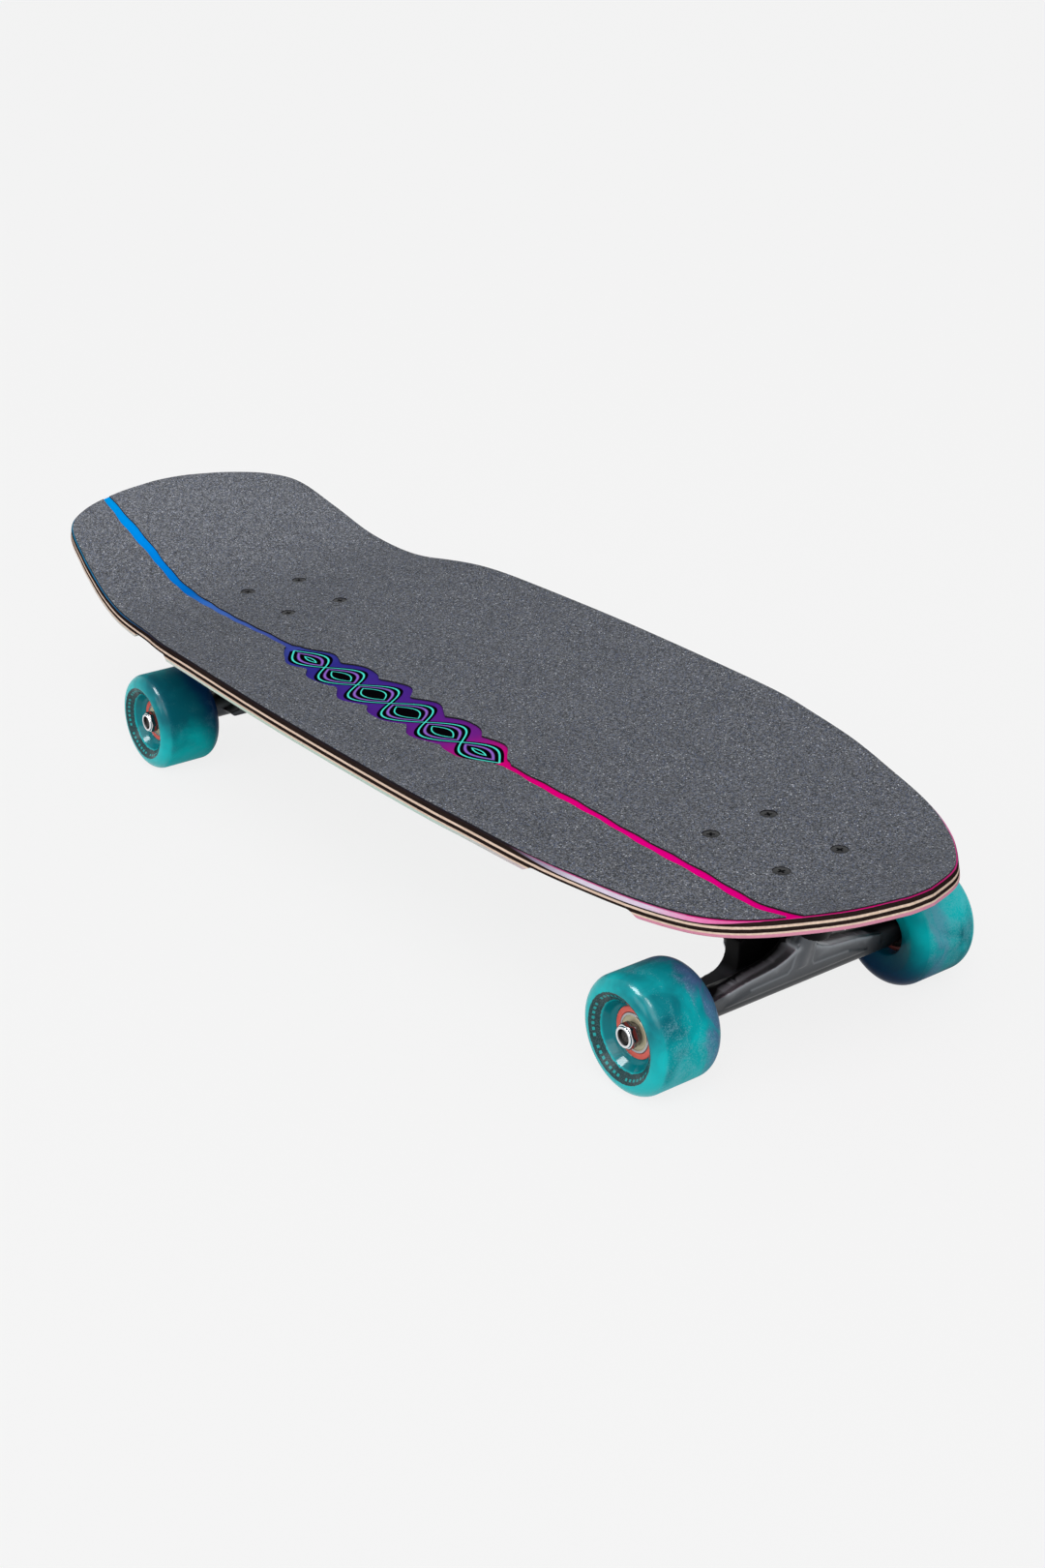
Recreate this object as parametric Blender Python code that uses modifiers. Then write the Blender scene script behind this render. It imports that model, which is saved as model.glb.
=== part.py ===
"""Cruiser skateboard: a pressed deck with grip, two kingpin trucks and four soft wheels.

Units are metres. +Y points to the nose, +X to the rider's right, +Z up, and the wheels
stand on z = 0 with the deck's length centred on the origin.
"""

import math

import bmesh
import bpy
from mathutils import Matrix, Vector

MM = 0.001
GAP = 0.3 * MM               # clearance between pieces that touch
SINK = 0.5 * MM              # how far shapes that are fused reach into each other

# How far a cutter runs past what it cuts
CUT_PAST = 5.0 * MM

# Deck, with places along it measured from the middle of its length
DECK_THICKNESS = 8.8 * MM
DECK_EDGE_ROUND = 0.8 * MM
DECK_HALF_WIDTH = 132.9 * MM
CONCAVE_RISE = 11.0 * MM     # rise of the rails over the centre line in the middle
NOSE_FADE = 249.0 * MM       # length over which the concave dies away, back from the tip
NOSE_FADE_SHARE = 1.056      # a little over one: the tip is slightly convex
TAIL_FADE = 273.0 * MM
TAIL_FADE_SHARE = 1.178
WAIST_DIP = 2.6 * MM         # fall of the rails over the rear wheels, at full half width
WAIST_DIP_PLACE = 219.9 * MM
WAIST_DIP_REACH = 26.6 * MM
NOSE_REACH = 382.3 * MM
TAIL_REACH = 381.3 * MM
NOSE_BEND = 70.0 * MM        # length that bends up, back from the nose's tip
NOSE_ANGLE = math.radians(14.6)
NOSE_RADIUS = 142.0 * MM
KICK_LENGTH = 148.0 * MM     # length that bends up, forward from the tail's end
KICK_ANGLE = math.radians(20.6)
KICK_RADIUS = 160.5 * MM
FRONT_OVERHANG = 103.2 * MM  # from the tip back to the middle of the bolt pattern
REAR_OVERHANG = 176.2 * MM
# The outline's right half, nose to tail: share of the half width, share of the reach.
# A pointed nose, a waist over the rear truck and a squared tail.
OUTLINE = [
    (0.062, 0.999),
    (0.285, 0.968),
    (0.502, 0.902),
    (0.663, 0.836),
    (0.767, 0.762),
    (0.844, 0.672),
    (0.898, 0.592),
    (0.946, 0.470),
    (0.981, 0.340),
    (1.000, 0.000),
    (0.984, -0.281),
    (0.965, -0.409),
    (0.917, -0.502),
    (0.881, -0.572),
    (0.850, -0.665),
    (0.811, -0.762),
    (0.779, -0.830),
    (0.715, -0.917),
    (0.575, -0.959),
    (0.349, -0.985),
    (0.122, -0.998),
]
OUTLINE_STEPS = 2            # rows of faces between two outline points
DECK_COLUMNS = 6

# Grip
GRIP_THICKNESS = 0.9 * MM
GRIP_SETBACK = 0.1 * MM      # from the start of the deck's rounded edge

# Ground-out hollows above the wheels
WELL_DEPTH = 3.5 * MM
WELL_HALF_LENGTH = 34.0 * MM
WELL_STEP = 5.5 * MM         # the hollow starts this far outside the wheel's inner face
WELL_CORNER = 14.0 * MM
WELL_SETBACK = 23.7 * MM     # from the bolt pattern towards the middle of the deck
WELL_COLUMNS = 5

# Bolt pattern and hardware
PATTERN_LENGTH = 53.98 * MM
PATTERN_WIDTH = 41.28 * MM
BOLT_RADIUS = 2.4 * MM
BOLT_HEAD_RADIUS = 4.6 * MM
BOLT_HEAD_HEIGHT = 2.7 * MM
BOLT_HEAD_RIM = 0.5 * MM
BOLT_TAIL = 1.5 * MM         # thread that shows past the nut
BOLT_NUT_ACROSS = 9.5 * MM
BOLT_NUT_HEIGHT = 5.0 * MM

# Riser pad and baseplate
PLATE_LENGTH_IN = 43.0 * MM  # from the pattern's centre towards the middle of the deck
PLATE_LENGTH_OUT = 45.0 * MM
PLATE_WIDTH = 57.0 * MM
PLATE_CORNER = 9.0 * MM
PLATE_THICKNESS = 5.5 * MM
PLATE_BEVEL = 1.4 * MM
RISER_THICKNESS = 8.2 * MM
RISER_WINDOW_LENGTH = 30.0 * MM
RISER_WINDOW_WIDTH = 20.0 * MM
RISER_WINDOW_CORNER = 6.0 * MM
SPINE_WIDTH = 15.0 * MM      # rib under the plate between the kingpin's boss and the pivot
SPINE_DEPTH = 10.5 * MM

# Truck layout
TRUCK_HEIGHT = 52.5 * MM     # from the baseplate's top down to the axle
AXLE_SETOUT = 13.8 * MM      # from the bolt pattern's centre towards the deck's end
RING_SETBACK = 27.8 * MM     # from the axle towards the middle of the deck
RING_RISE = 15.5 * MM        # over the axle
PIVOT_SETOUT = 31.0 * MM
PIVOT_DROP = 14.0 * MM
KINGPIN_TILT = math.radians(24.0)

# Kingpin, bushings and washers, stacked along the kingpin
KINGPIN_RADIUS = 4.76 * MM
KINGPIN_HEAD_ACROSS = 14.3 * MM
KINGPIN_HEAD_HEIGHT = 5.5 * MM
KINGPIN_SEAT = 9.1 * MM      # metal between the washer's seat and the kingpin's head
KINGPIN_NUT_HEIGHT = 8.0 * MM
KINGPIN_TAIL = 2.5 * MM      # thread that shows past the nut
HEAD_CLEARANCE = 1.1 * MM    # round the corners of the kingpin's head in its pocket
BOSS_RADIUS = 13.0 * MM
RING_RADIUS = 17.5 * MM
RING_THICKNESS = 11.0 * MM
RING_PLAY = 3.24 * MM        # between the ring and the kingpin, for the truck to tilt
BUSHING_RADIUS = 13.0 * MM
BUSHING_END = 11.6 * MM
ROAD_BUSHING_END = 10.0 * MM
BUSHING_SHOULDER = 2.9 * MM
BOARD_BUSHING_HEIGHT = 11.5 * MM
ROAD_BUSHING_HEIGHT = 10.0 * MM
WASHER_RADIUS = 12.6 * MM
WASHER_THICKNESS = 1.5 * MM

# Pivot
STUB_TIP_RADIUS = 5.0 * MM
STUB_ROOT_RADIUS = 8.2 * MM
CUP_PLAY = 0.5 * MM
CUP_WALL = 2.5 * MM
CUP_CROWN = 2.0 * MM
CUP_DEPTH = 4.0 * MM         # from the pivot's centre to the cup's mouth
CUP_MOUTH_FLARE = 1.5 * MM
HOUSING_WALL = 3.6 * MM

# Hanger: heights are over the axle, and places outward from it
TUBE_RADIUS = 9.5 * MM
TUBE_HALF_LENGTH = 79.3 * MM
FLANK_BACK = -19.8 * MM
FLANK_FRONT = -7.8 * MM
FLANK_HALF_WIDTH = 27.0 * MM
FLANK_TOP = 25.5 * MM
FLANK_DIP = 6.0 * MM         # drop of the flank's upper edge at the centre line
FLANK_CORNER = 6.0 * MM      # width of the flank's cut upper corners, which are half as high
FLANK_FILLET = 11.0 * MM
FLANK_FILLET_FOOT = 3.0 * MM
FLANK_FOOT_HALF_WIDTH = 58.0 * MM
FLANK_FOOT_TOP = 0.0 * MM
FLANK_FOOT_DEPTH = 3.3 * MM
NOTCH_CLEARANCE = 2.3 * MM   # round the bushings
SHIELD_FRONT = 8.8 * MM
SHIELD_NECK = 7.5 * MM
SHIELD_TOP = 21.5 * MM
SHIELD_HALF_WIDTH = 62.0 * MM
# The shield's ridge from its neck outwards: place across, height over the axle
SHIELD_RIDGE = [
    (8.5 * MM, 18.6 * MM),
    (12.0 * MM, 16.2 * MM),
    (17.0 * MM, 14.3 * MM),
    (24.0 * MM, 12.6 * MM),
    (33.0 * MM, 10.8 * MM),
    (44.0 * MM, 8.7 * MM),
]
SHIELD_SINK = 4.2 * MM       # of the shield's ends below the tube's top
RIB_PROUD = 0.9 * MM         # how far the raised T stands out from the shield
RIB_HALF_WIDTH = 5.5 * MM
RIB_BAR_HALF_WIDTH = 37.0 * MM
RIB_BAR_TOP = 5.7 * MM
RIB_BAR_FOOT = 0.0 * MM
RIB_FLARE = 3.0 * MM         # of the column where it meets the bar, and of the bar's ends
STUB_FOOT_SETOUT = 5.0 * MM  # where the pivot's stub grows out of the hanger
STUB_FOOT_RISE = 11.1 * MM

# Axle, bearings and wheels
AXLE_RADIUS = 4.0 * MM
AXLE_CHAMFER = 0.6 * MM
AXLE_SET_IN = 0.5 * MM       # of the axle's end inside the nut's face
SPEED_WASHER_RADIUS = 6.4 * MM
SPEED_WASHER_THICKNESS = 0.6 * MM
SPACER_RADIUS = 5.6 * MM
SPACER_LENGTH = 10.0 * MM
BEARING_RADIUS = 11.0 * MM
BEARING_WIDTH = 7.0 * MM
AXLE_NUT_ACROSS = 12.7 * MM
AXLE_NUT_HEIGHT = 5.2 * MM
CORE_WALL = 2.9 * MM         # round the bearings
CORE_SHOULDER = 1.9 * MM     # of the web that stands between the bearings
TYRE_RADIUS = 33.0 * MM
TYRE_WIDTH = 44.6 * MM
TYRE_OUTER_LIP = (8.0 * MM, 8.3 * MM)    # along the axle, along the radius
TYRE_INNER_LIP = (9.4 * MM, 9.6 * MM)
RECESS_SHELF = 2.4 * MM      # flat round the core, at the bottom of the recess
RECESS_SHELF_RISE = 1.2 * MM
OUTER_RECESS_SLOPE = 2.7 * MM
INNER_MOUTH = 12.6 * MM      # radius of the inner side's opening, over the core
INNER_MOUTH_SLOPE = 1.0 * MM
OUTER_FACE_DISH = 3.9 * MM   # depth of the dished face inside the rounded lip
INNER_FACE_DISH = 2.7 * MM
LIP_STEPS = 3

# Faces round each turned piece
TYRE_SIDES = 24
BEARING_SIDES = 16
TUBE_SIDES = 16
BUSHING_SIDES = 14
AXLE_SIDES = 10
TIP_SIDES = 12
BOLT_SIDES = 8

# Places that follow from the sizes above
AXLE_HEIGHT = TYRE_RADIUS * math.cos(math.pi / TYRE_SIDES)
PLATE_TOP = AXLE_HEIGHT + TRUCK_HEIGHT
DECK_TOP = PLATE_TOP + GAP + RISER_THICKNESS + GAP + DECK_THICKNESS
FRONT_PATTERN = NOSE_REACH - FRONT_OVERHANG
REAR_PATTERN = REAR_OVERHANG - TAIL_REACH
TRUCKS = (("front", FRONT_PATTERN, 1), ("rear", REAR_PATTERN, -1))
HANDS = (("right", 1), ("left", -1))
CORE_RADIUS = BEARING_RADIUS + GAP + CORE_WALL
CORE_HALF_WIDTH = SPACER_LENGTH / 2 + GAP + BEARING_WIDTH
WHEEL_OFFSET = TUBE_HALF_LENGTH + GAP + SPEED_WASHER_THICKNESS + GAP + CORE_HALF_WIDTH
AXLE_NUT_END = WHEEL_OFFSET + CORE_HALF_WIDTH + GAP + SPEED_WASHER_THICKNESS + AXLE_NUT_HEIGHT

# Truck places, from the pattern's centre on the baseplate's top, with +Y outward
UP = Vector((0.0, 0.0, 1.0))
SIDEWAYS = Vector((1.0, 0.0, 0.0))
AXLE_CENTRE = Vector((0.0, AXLE_SETOUT, -TRUCK_HEIGHT))
RING_CENTRE = AXLE_CENTRE + Vector((0.0, -RING_SETBACK, RING_RISE))
PIVOT_CENTRE = Vector((0.0, PIVOT_SETOUT, -PIVOT_DROP))
KINGPIN_UP = Vector((0.0, math.sin(KINGPIN_TILT), math.cos(KINGPIN_TILT)))
STUB_FOOT = AXLE_CENTRE + Vector((0.0, STUB_FOOT_SETOUT, STUB_FOOT_RISE))
STUB_UP = (PIVOT_CENTRE - STUB_FOOT).normalized()
STUB_LENGTH = (PIVOT_CENTRE - STUB_FOOT).length

# Heights along the kingpin from the ring's centre
BOARD_BUSHING_FOOT = RING_THICKNESS / 2 + GAP
BOARD_WASHER_FOOT = BOARD_BUSHING_FOOT + BOARD_BUSHING_HEIGHT + GAP
SEAT_HEIGHT = BOARD_WASHER_FOOT + WASHER_THICKNESS + GAP
HEAD_FOOT = SEAT_HEIGHT + KINGPIN_SEAT + GAP
ROAD_BUSHING_TOP = -RING_THICKNESS / 2 - GAP
ROAD_WASHER_TOP = ROAD_BUSHING_TOP - ROAD_BUSHING_HEIGHT - GAP
ROAD_WASHER_FOOT = ROAD_WASHER_TOP - WASHER_THICKNESS
KINGPIN_NUT_TOP = ROAD_WASHER_FOOT - GAP
KINGPIN_NUT_FOOT = KINGPIN_NUT_TOP - KINGPIN_NUT_HEIGHT
KINGPIN_END = KINGPIN_NUT_FOOT - KINGPIN_TAIL

# Pivot cup and its housing
CUP_RADIUS = STUB_TIP_RADIUS + CUP_PLAY
CUP_OUTER = CUP_RADIUS + CUP_WALL
CUP_TOP = CUP_RADIUS + CUP_CROWN
HOUSING_BORE = CUP_OUTER + GAP
HOUSING_RADIUS = HOUSING_BORE + HOUSING_WALL


def reset_scene():
    for old in list(bpy.data.objects):
        bpy.data.objects.remove(old, do_unlink=True)


reset_scene()
PARTS = bpy.data.collections.new("cruiser_skateboard")
GUIDES = bpy.data.collections.new("guides")
bpy.context.scene.collection.children.link(PARTS)
bpy.context.scene.collection.children.link(GUIDES)


def material(name, colour, roughness, metallic=0.0):
    mat = bpy.data.materials.new(name)
    mat.use_nodes = True
    shader = mat.node_tree.nodes["Principled BSDF"]
    shader.inputs["Base Color"].default_value = (*colour, 1.0)
    shader.inputs["Roughness"].default_value = roughness
    shader.inputs["Metallic"].default_value = metallic
    return mat


MAPLE = material("maple", (0.62, 0.43, 0.26), 0.5)
GRIT = material("grit", (0.09, 0.09, 0.10), 0.95)
PAINTED = material("satin_black_casting", (0.02, 0.022, 0.024), 0.42, 0.6)
CHROME = material("chrome", (0.7, 0.7, 0.72), 0.12, 1.0)
BLACK_STEEL = material("black_steel", (0.015, 0.015, 0.016), 0.35, 1.0)
TEAL = material("teal_urethane", (0.01, 0.36, 0.38), 0.2)
CORAL = material("coral_core", (0.72, 0.10, 0.08), 0.4)
CREAM = material("bearing_shield", (0.62, 0.58, 0.48), 0.35, 0.4)
SOFT_BLACK = material("bushing_urethane", (0.02, 0.02, 0.02), 0.5)


# Mesh tools

def link(obj, collection):
    collection.objects.link(obj)
    return obj


def mesh_object(name, bm):
    """A guide object that holds the bmesh."""
    mesh = bpy.data.meshes.new(name)
    bm.to_mesh(mesh)
    bm.free()
    return link(bpy.data.objects.new(name, mesh), GUIDES)


def bake(obj):
    """Replace the object by a mesh object with its modifiers applied."""
    graph = bpy.context.evaluated_depsgraph_get()
    graph.update()
    evaluated = obj.evaluated_get(graph)
    mesh = bpy.data.meshes.new_from_object(evaluated)
    name = obj.name
    matrix = obj.matrix_world.copy()
    bpy.data.objects.remove(obj, do_unlink=True)
    mesh.transform(matrix)
    bm = bmesh.new()
    bm.from_mesh(mesh)
    bmesh.ops.remove_doubles(bm, verts=bm.verts, dist=0.001 * MM)
    bm.to_mesh(mesh)
    bm.free()
    result = bpy.data.objects.new(name, mesh)
    mesh.name = name
    return link(result, GUIDES)


def boolean(base, other, operation, solver="EXACT"):
    modifier = base.modifiers.new("boolean", "BOOLEAN")
    modifier.operation = operation
    modifier.solver = solver
    modifier.object = other
    result = bake(base)
    bpy.data.objects.remove(other, do_unlink=True)
    return result


def cut(base, *cutters):
    for cutter in cutters:
        base = boolean(base, cutter, "DIFFERENCE")
    return base


def fuse(base, *others):
    for other in others:
        base = boolean(base, other, "UNION")
    return base


def turned(name, profile, sides):
    """Turn a profile of (radius, height) points round Z.

    A profile that starts and ends on the axis is a solid, any other is closed to a ring.
    It runs down its outer side.
    """
    bm = bmesh.new()
    points = [bm.verts.new((radius, 0.0, height)) for radius, height in profile]
    for first, second in zip(points, points[1:]):
        bm.edges.new((first, second))
    if profile[0][0] > 0.0:
        bm.edges.new((points[-1], points[0]))
    obj = mesh_object(name, bm)
    screw = obj.modifiers.new("turn", "SCREW")
    screw.angle = math.tau
    screw.steps = sides
    screw.render_steps = sides
    screw.use_merge_vertices = True
    screw.merge_threshold = 0.01 * MM
    result = bake(obj)
    result.data.transform(Matrix.Rotation(math.pi / sides, 4, "Z"))
    return result


def cylinder(name, radius, bottom, top, sides, top_radius=None):
    bm = bmesh.new()
    bmesh.ops.create_cone(
        bm, cap_ends=True, segments=sides, radius1=radius,
        radius2=radius if top_radius is None else top_radius, depth=top - bottom)
    bmesh.ops.translate(bm, verts=bm.verts, vec=(0.0, 0.0, (top + bottom) / 2))
    bmesh.ops.rotate(bm, verts=bm.verts, matrix=Matrix.Rotation(math.pi / sides, 3, "Z"))
    return mesh_object(name, bm)


def ball(name, radius, sides):
    bm = bmesh.new()
    bmesh.ops.create_uvsphere(bm, u_segments=sides, v_segments=sides // 2, radius=radius)
    return mesh_object(name, bm)


def box(name, low, high):
    bm = bmesh.new()
    bmesh.ops.create_cube(bm, size=1.0)
    size = Vector(high) - Vector(low)
    bmesh.ops.scale(bm, verts=bm.verts, vec=size)
    bmesh.ops.translate(bm, verts=bm.verts, vec=(Vector(high) + Vector(low)) / 2)
    return mesh_object(name, bm)


def plate(name, outlines, thickness):
    """A flat piece: the first outline with the others as holes, from z = 0 up."""
    curve = bpy.data.curves.new(name, "CURVE")
    curve.dimensions = "2D"
    curve.fill_mode = "BOTH"
    curve.extrude = thickness / 2
    for outline in outlines:
        spline = curve.splines.new("POLY")
        spline.points.add(len(outline) - 1)
        for point, (x, y) in zip(spline.points, outline):
            point.co = (x, y, 0.0, 1.0)
        spline.use_cyclic_u = True
    obj = link(bpy.data.objects.new(name, curve), GUIDES)
    obj.location.z = thickness / 2
    bpy.context.view_layer.update()
    return bake(obj)


def along(obj, centre, up):
    """Stand a piece that was made round Z on a centre, along a direction."""
    turn = UP.rotation_difference(up).to_matrix().to_4x4()
    obj.data.transform(Matrix.Translation(centre) @ turn)
    return obj


def on_circle(centre, radius, angle):
    return centre[0] + radius * math.cos(angle), centre[1] + radius * math.sin(angle)


def arc(centre, radius, start, end, steps):
    """Points on an arc, in degrees, with both ends."""
    points = []
    for step in range(steps + 1):
        angle = math.radians(start + (end - start) * step / steps)
        points.append(on_circle(centre, radius, angle))
    return points


def rounded_rectangle(low_x, low_y, high_x, high_y, corner, steps=3):
    return (
        arc((high_x - corner, high_y - corner), corner, 0, 90, steps)
        + arc((low_x + corner, high_y - corner), corner, 90, 180, steps)
        + arc((low_x + corner, low_y + corner), corner, 180, 270, steps)
        + arc((high_x - corner, low_y + corner), corner, 270, 360, steps))


def circle(centre, radius, sides):
    return [on_circle(centre, radius, math.tau * (side + 0.5) / sides) for side in range(sides)]


def finish(obj, name, mat, parent=None, origin=(0.0, 0.0, 0.0)):
    """Name a piece, give it its material, and set its origin and its parent."""
    obj.name = name
    obj.data.name = name
    obj.data.materials.clear()
    obj.data.materials.append(mat)
    obj.data.transform(Matrix.Translation(-Vector(origin)))
    obj.location = origin
    obj.data.shade_smooth()
    obj.data.set_sharp_from_angle(angle=math.radians(35.0))
    GUIDES.objects.unlink(obj)
    link(obj, PARTS)
    obj.parent = parent
    return obj


def copy_piece(obj, name, parent, location=None):
    twin = obj.copy()
    twin.name = name
    twin.parent = parent
    if location is not None:
        twin.location = location
    return link(twin, PARTS)


# Deck and grip

def bend_height(distance, radius, angle):
    """Height of a sheet that bends up round a radius to an angle, then runs straight."""
    if distance <= 0.0:
        return 0.0
    reach = radius * math.sin(angle)
    if distance < reach:
        return radius - math.sqrt(radius ** 2 - distance ** 2)
    return radius * (1.0 - math.cos(angle)) + (distance - reach) * math.tan(angle)


def ease(share):
    """A smooth step from 0 to 1."""
    share = min(max(share, 0.0), 1.0)
    return share ** 2 * (3.0 - 2.0 * share)


def deck_height(x, y):
    """Height of the deck's upper face over the ground."""
    nose_fade = NOSE_FADE_SHARE * ease((y - NOSE_REACH + NOSE_FADE) / NOSE_FADE)
    tail_fade = TAIL_FADE_SHARE * ease((TAIL_FADE - TAIL_REACH - y) / TAIL_FADE)
    dip = WAIST_DIP * math.exp(-((y + WAIST_DIP_PLACE) / WAIST_DIP_REACH) ** 2)
    rise = CONCAVE_RISE * (1.0 - nose_fade - tail_fade) - dip
    concave = rise * (x / DECK_HALF_WIDTH) ** 2
    kick = bend_height(KICK_LENGTH - TAIL_REACH - y, KICK_RADIUS, KICK_ANGLE)
    nose = bend_height(y - NOSE_REACH + NOSE_BEND, NOSE_RADIUS, NOSE_ANGLE)
    return DECK_TOP + concave + kick + nose


def deck_point(x, y, depth):
    """A point the given depth below the upper face, square to it."""
    step = 0.5 * MM
    slope_x = (deck_height(x + step, y) - deck_height(x - step, y)) / (2 * step)
    slope_y = (deck_height(x, y + step) - deck_height(x, y - step)) / (2 * step)
    normal = Vector((-slope_x, -slope_y, 1.0)).normalized()
    return Vector((x, y, deck_height(x, y))) - normal * depth


def smooth_curve(points, steps):
    """A smooth curve through the points, with the given steps between them."""
    curve = []
    for index in range(len(points) - 1):
        before = Vector(points[max(index - 1, 0)])
        start = Vector(points[index])
        end = Vector(points[index + 1])
        after = Vector(points[min(index + 2, len(points) - 1)])
        for step in range(steps):
            t = step / steps
            leave = (end - before) / 2
            arrive = (after - start) / 2
            curve.append(
                start * (2 * t ** 3 - 3 * t ** 2 + 1) + leave * (t ** 3 - 2 * t ** 2 + t)
                + end * (3 * t ** 2 - 2 * t ** 3) + arrive * (t ** 3 - t ** 2))
    curve.append(Vector(points[-1]))
    return curve


def deck_border():
    """The deck's outline as a closed loop, with the grid's columns along nose and tail."""
    corners = [
        (across * DECK_HALF_WIDTH, reach * (NOSE_REACH if reach > 0.0 else TAIL_REACH))
        for across, reach in OUTLINE]
    right = smooth_curve(corners, OUTLINE_STEPS)
    nose = end_curve(right[0], NOSE_REACH)
    tail = end_curve(right[-1], -TAIL_REACH)
    left = [Vector((-point.x, point.y)) for point in reversed(right)]
    return right + tail + left + nose[::-1], len(right)


def end_curve(corner, end):
    """Points of a nose or tail edge from its right corner, bowed out to the deck's end."""
    points = []
    for column in range(1, DECK_COLUMNS):
        across = 1.0 - 2.0 * column / DECK_COLUMNS
        bow = 1.0 - across ** 2
        points.append(Vector((corner.x * across, corner.y + (end - corner.y) * bow)))
    return points


def inset_loop(loop, distance):
    """The closed loop moved inwards by a distance. The loop runs clockwise from above."""
    result = []
    for index, point in enumerate(loop):
        ahead = loop[(index + 1) % len(loop)] - loop[index - 1]
        inward = Vector((ahead.y, -ahead.x)).normalized()
        result.append(point + inward * distance)
    return result


def sheet(name, rings, loop, rows):
    """A sheet that follows the deck: rings of (inset, depth) from the top edge to the bottom."""
    bm = bmesh.new()
    loops = []
    for inset, depth in rings:
        flat = inset_loop(loop, inset)
        loops.append([bm.verts.new(deck_point(point.x, point.y, depth)) for point in flat])
    for upper, lower in zip(loops, loops[1:]):
        for index in range(len(loop)):
            follow = (index + 1) % len(loop)
            bm.faces.new((upper[index], upper[follow], lower[follow], lower[index]))
    for ring, (inset, depth) in ((loops[0], rings[0]), (loops[-1], rings[-1])):
        fill_sheet(bm, ring, inset_loop(loop, inset), depth, rows)
    bmesh.ops.recalc_face_normals(bm, faces=bm.faces)
    return mesh_object(name, bm)


def fill_sheet(bm, ring, flat, depth, rows):
    """Fill one face of a sheet with a grid between its left and right edges."""
    count = len(ring)
    grid = []
    for row in range(rows):
        right = row
        left = count - (DECK_COLUMNS - 1) - 1 - row
        if row == 0:
            line = [ring[0]] + [ring[count - step] for step in range(1, DECK_COLUMNS)] + [ring[left]]
        elif row == rows - 1:
            line = [ring[right + step] for step in range(DECK_COLUMNS + 1)]
        else:
            line = [ring[right]]
            for column in range(1, DECK_COLUMNS):
                spot = flat[right].lerp(flat[left], column / DECK_COLUMNS)
                line.append(bm.verts.new(deck_point(spot.x, spot.y, depth)))
            line.append(ring[left])
        grid.append(line)
    for upper, lower in zip(grid, grid[1:]):
        for column in range(DECK_COLUMNS):
            bm.faces.new((upper[column], upper[column + 1], lower[column + 1], lower[column]))


def pattern_points(centre_y):
    for side in (1, -1):
        for end in (1, -1):
            yield side * PATTERN_WIDTH / 2, centre_y + end * PATTERN_LENGTH / 2


def bolt_head_top(y):
    return deck_height(0.0, y) + GAP + GRIP_THICKNESS / 2


def bolt_hole(x, y, clearance):
    """Cutter for a countersunk bolt through deck and grip."""
    top = bolt_head_top(y)
    profile = [
        (0.0, top + CUT_PAST),
        (BOLT_HEAD_RADIUS + clearance, top + CUT_PAST),
        (BOLT_HEAD_RADIUS + clearance, top - BOLT_HEAD_RIM - clearance),
        (BOLT_RADIUS + clearance, top - BOLT_HEAD_HEIGHT - clearance),
        (BOLT_RADIUS + clearance, top - 2 * DECK_THICKNESS),
        (0.0, top - 2 * DECK_THICKNESS),
    ]
    cutter = turned("bolt_hole", profile, BOLT_SIDES)
    return along(cutter, Vector((x, y, 0.0)), UP)


def well_cutter(side, centre_y):
    """Cutter for the shallow hollow above one wheel. It follows the deck's lower face."""
    inner = WHEEL_OFFSET - TYRE_WIDTH / 2 + WELL_STEP
    outer = max(DECK_HALF_WIDTH, inner + 2 * WELL_CORNER) + 2 * CUT_PAST
    outline = rounded_rectangle(
        inner, centre_y - WELL_HALF_LENGTH, outer, centre_y + WELL_HALF_LENGTH, WELL_CORNER)
    bm = bmesh.new()
    bm.faces.new([bm.verts.new((side * x, y, 0.0)) for x, y in outline])
    for column in range(1, WELL_COLUMNS):
        place = inner + (outer - inner) * column / WELL_COLUMNS
        bmesh.ops.bisect_plane(
            bm, geom=bm.verts[:] + bm.edges[:] + bm.faces[:],
            plane_co=(side * place, 0.0, 0.0), plane_no=SIDEWAYS)
    top = bmesh.ops.extrude_face_region(bm, geom=bm.faces[:])
    raised = [item for item in top["geom"] if isinstance(item, bmesh.types.BMVert)]
    for vert in bm.verts:
        depth = DECK_THICKNESS - WELL_DEPTH if vert in raised else DECK_THICKNESS + CUT_PAST
        vert.co = deck_point(vert.co.x, vert.co.y, depth)
    bmesh.ops.recalc_face_normals(bm, faces=bm.faces)
    return mesh_object("well", bm)


def make_deck():
    loop, rows = deck_border()
    arc_inset = DECK_EDGE_ROUND * (1 - math.sqrt(0.5))
    rings = [
        (DECK_EDGE_ROUND, 0.0),
        (arc_inset, arc_inset),
        (0.0, DECK_EDGE_ROUND),
        (0.0, DECK_THICKNESS - DECK_EDGE_ROUND),
        (arc_inset, DECK_THICKNESS - arc_inset),
        (DECK_EDGE_ROUND, DECK_THICKNESS),
    ]
    deck = sheet("deck", rings, loop, rows)
    for truck, centre_y, outward in TRUCKS:
        for x, y in pattern_points(centre_y):
            deck = cut(deck, bolt_hole(x, y, GAP))
        for hand, side in HANDS:
            deck = cut(deck, well_cutter(side, centre_y - outward * WELL_SETBACK))
    return finish(deck, "deck", MAPLE)


def make_grip():
    loop, rows = deck_border()
    inset = DECK_EDGE_ROUND + GRIP_SETBACK
    rings = [(inset, -GAP - GRIP_THICKNESS), (inset, -GAP)]
    grip = sheet("grip_tape", rings, loop, rows)
    for truck, centre_y, outward in TRUCKS:
        for x, y in pattern_points(centre_y):
            grip = cut(grip, bolt_hole(x, y, GAP))
    return finish(grip, "grip_tape", GRIT)


# Mounting hardware

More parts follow.
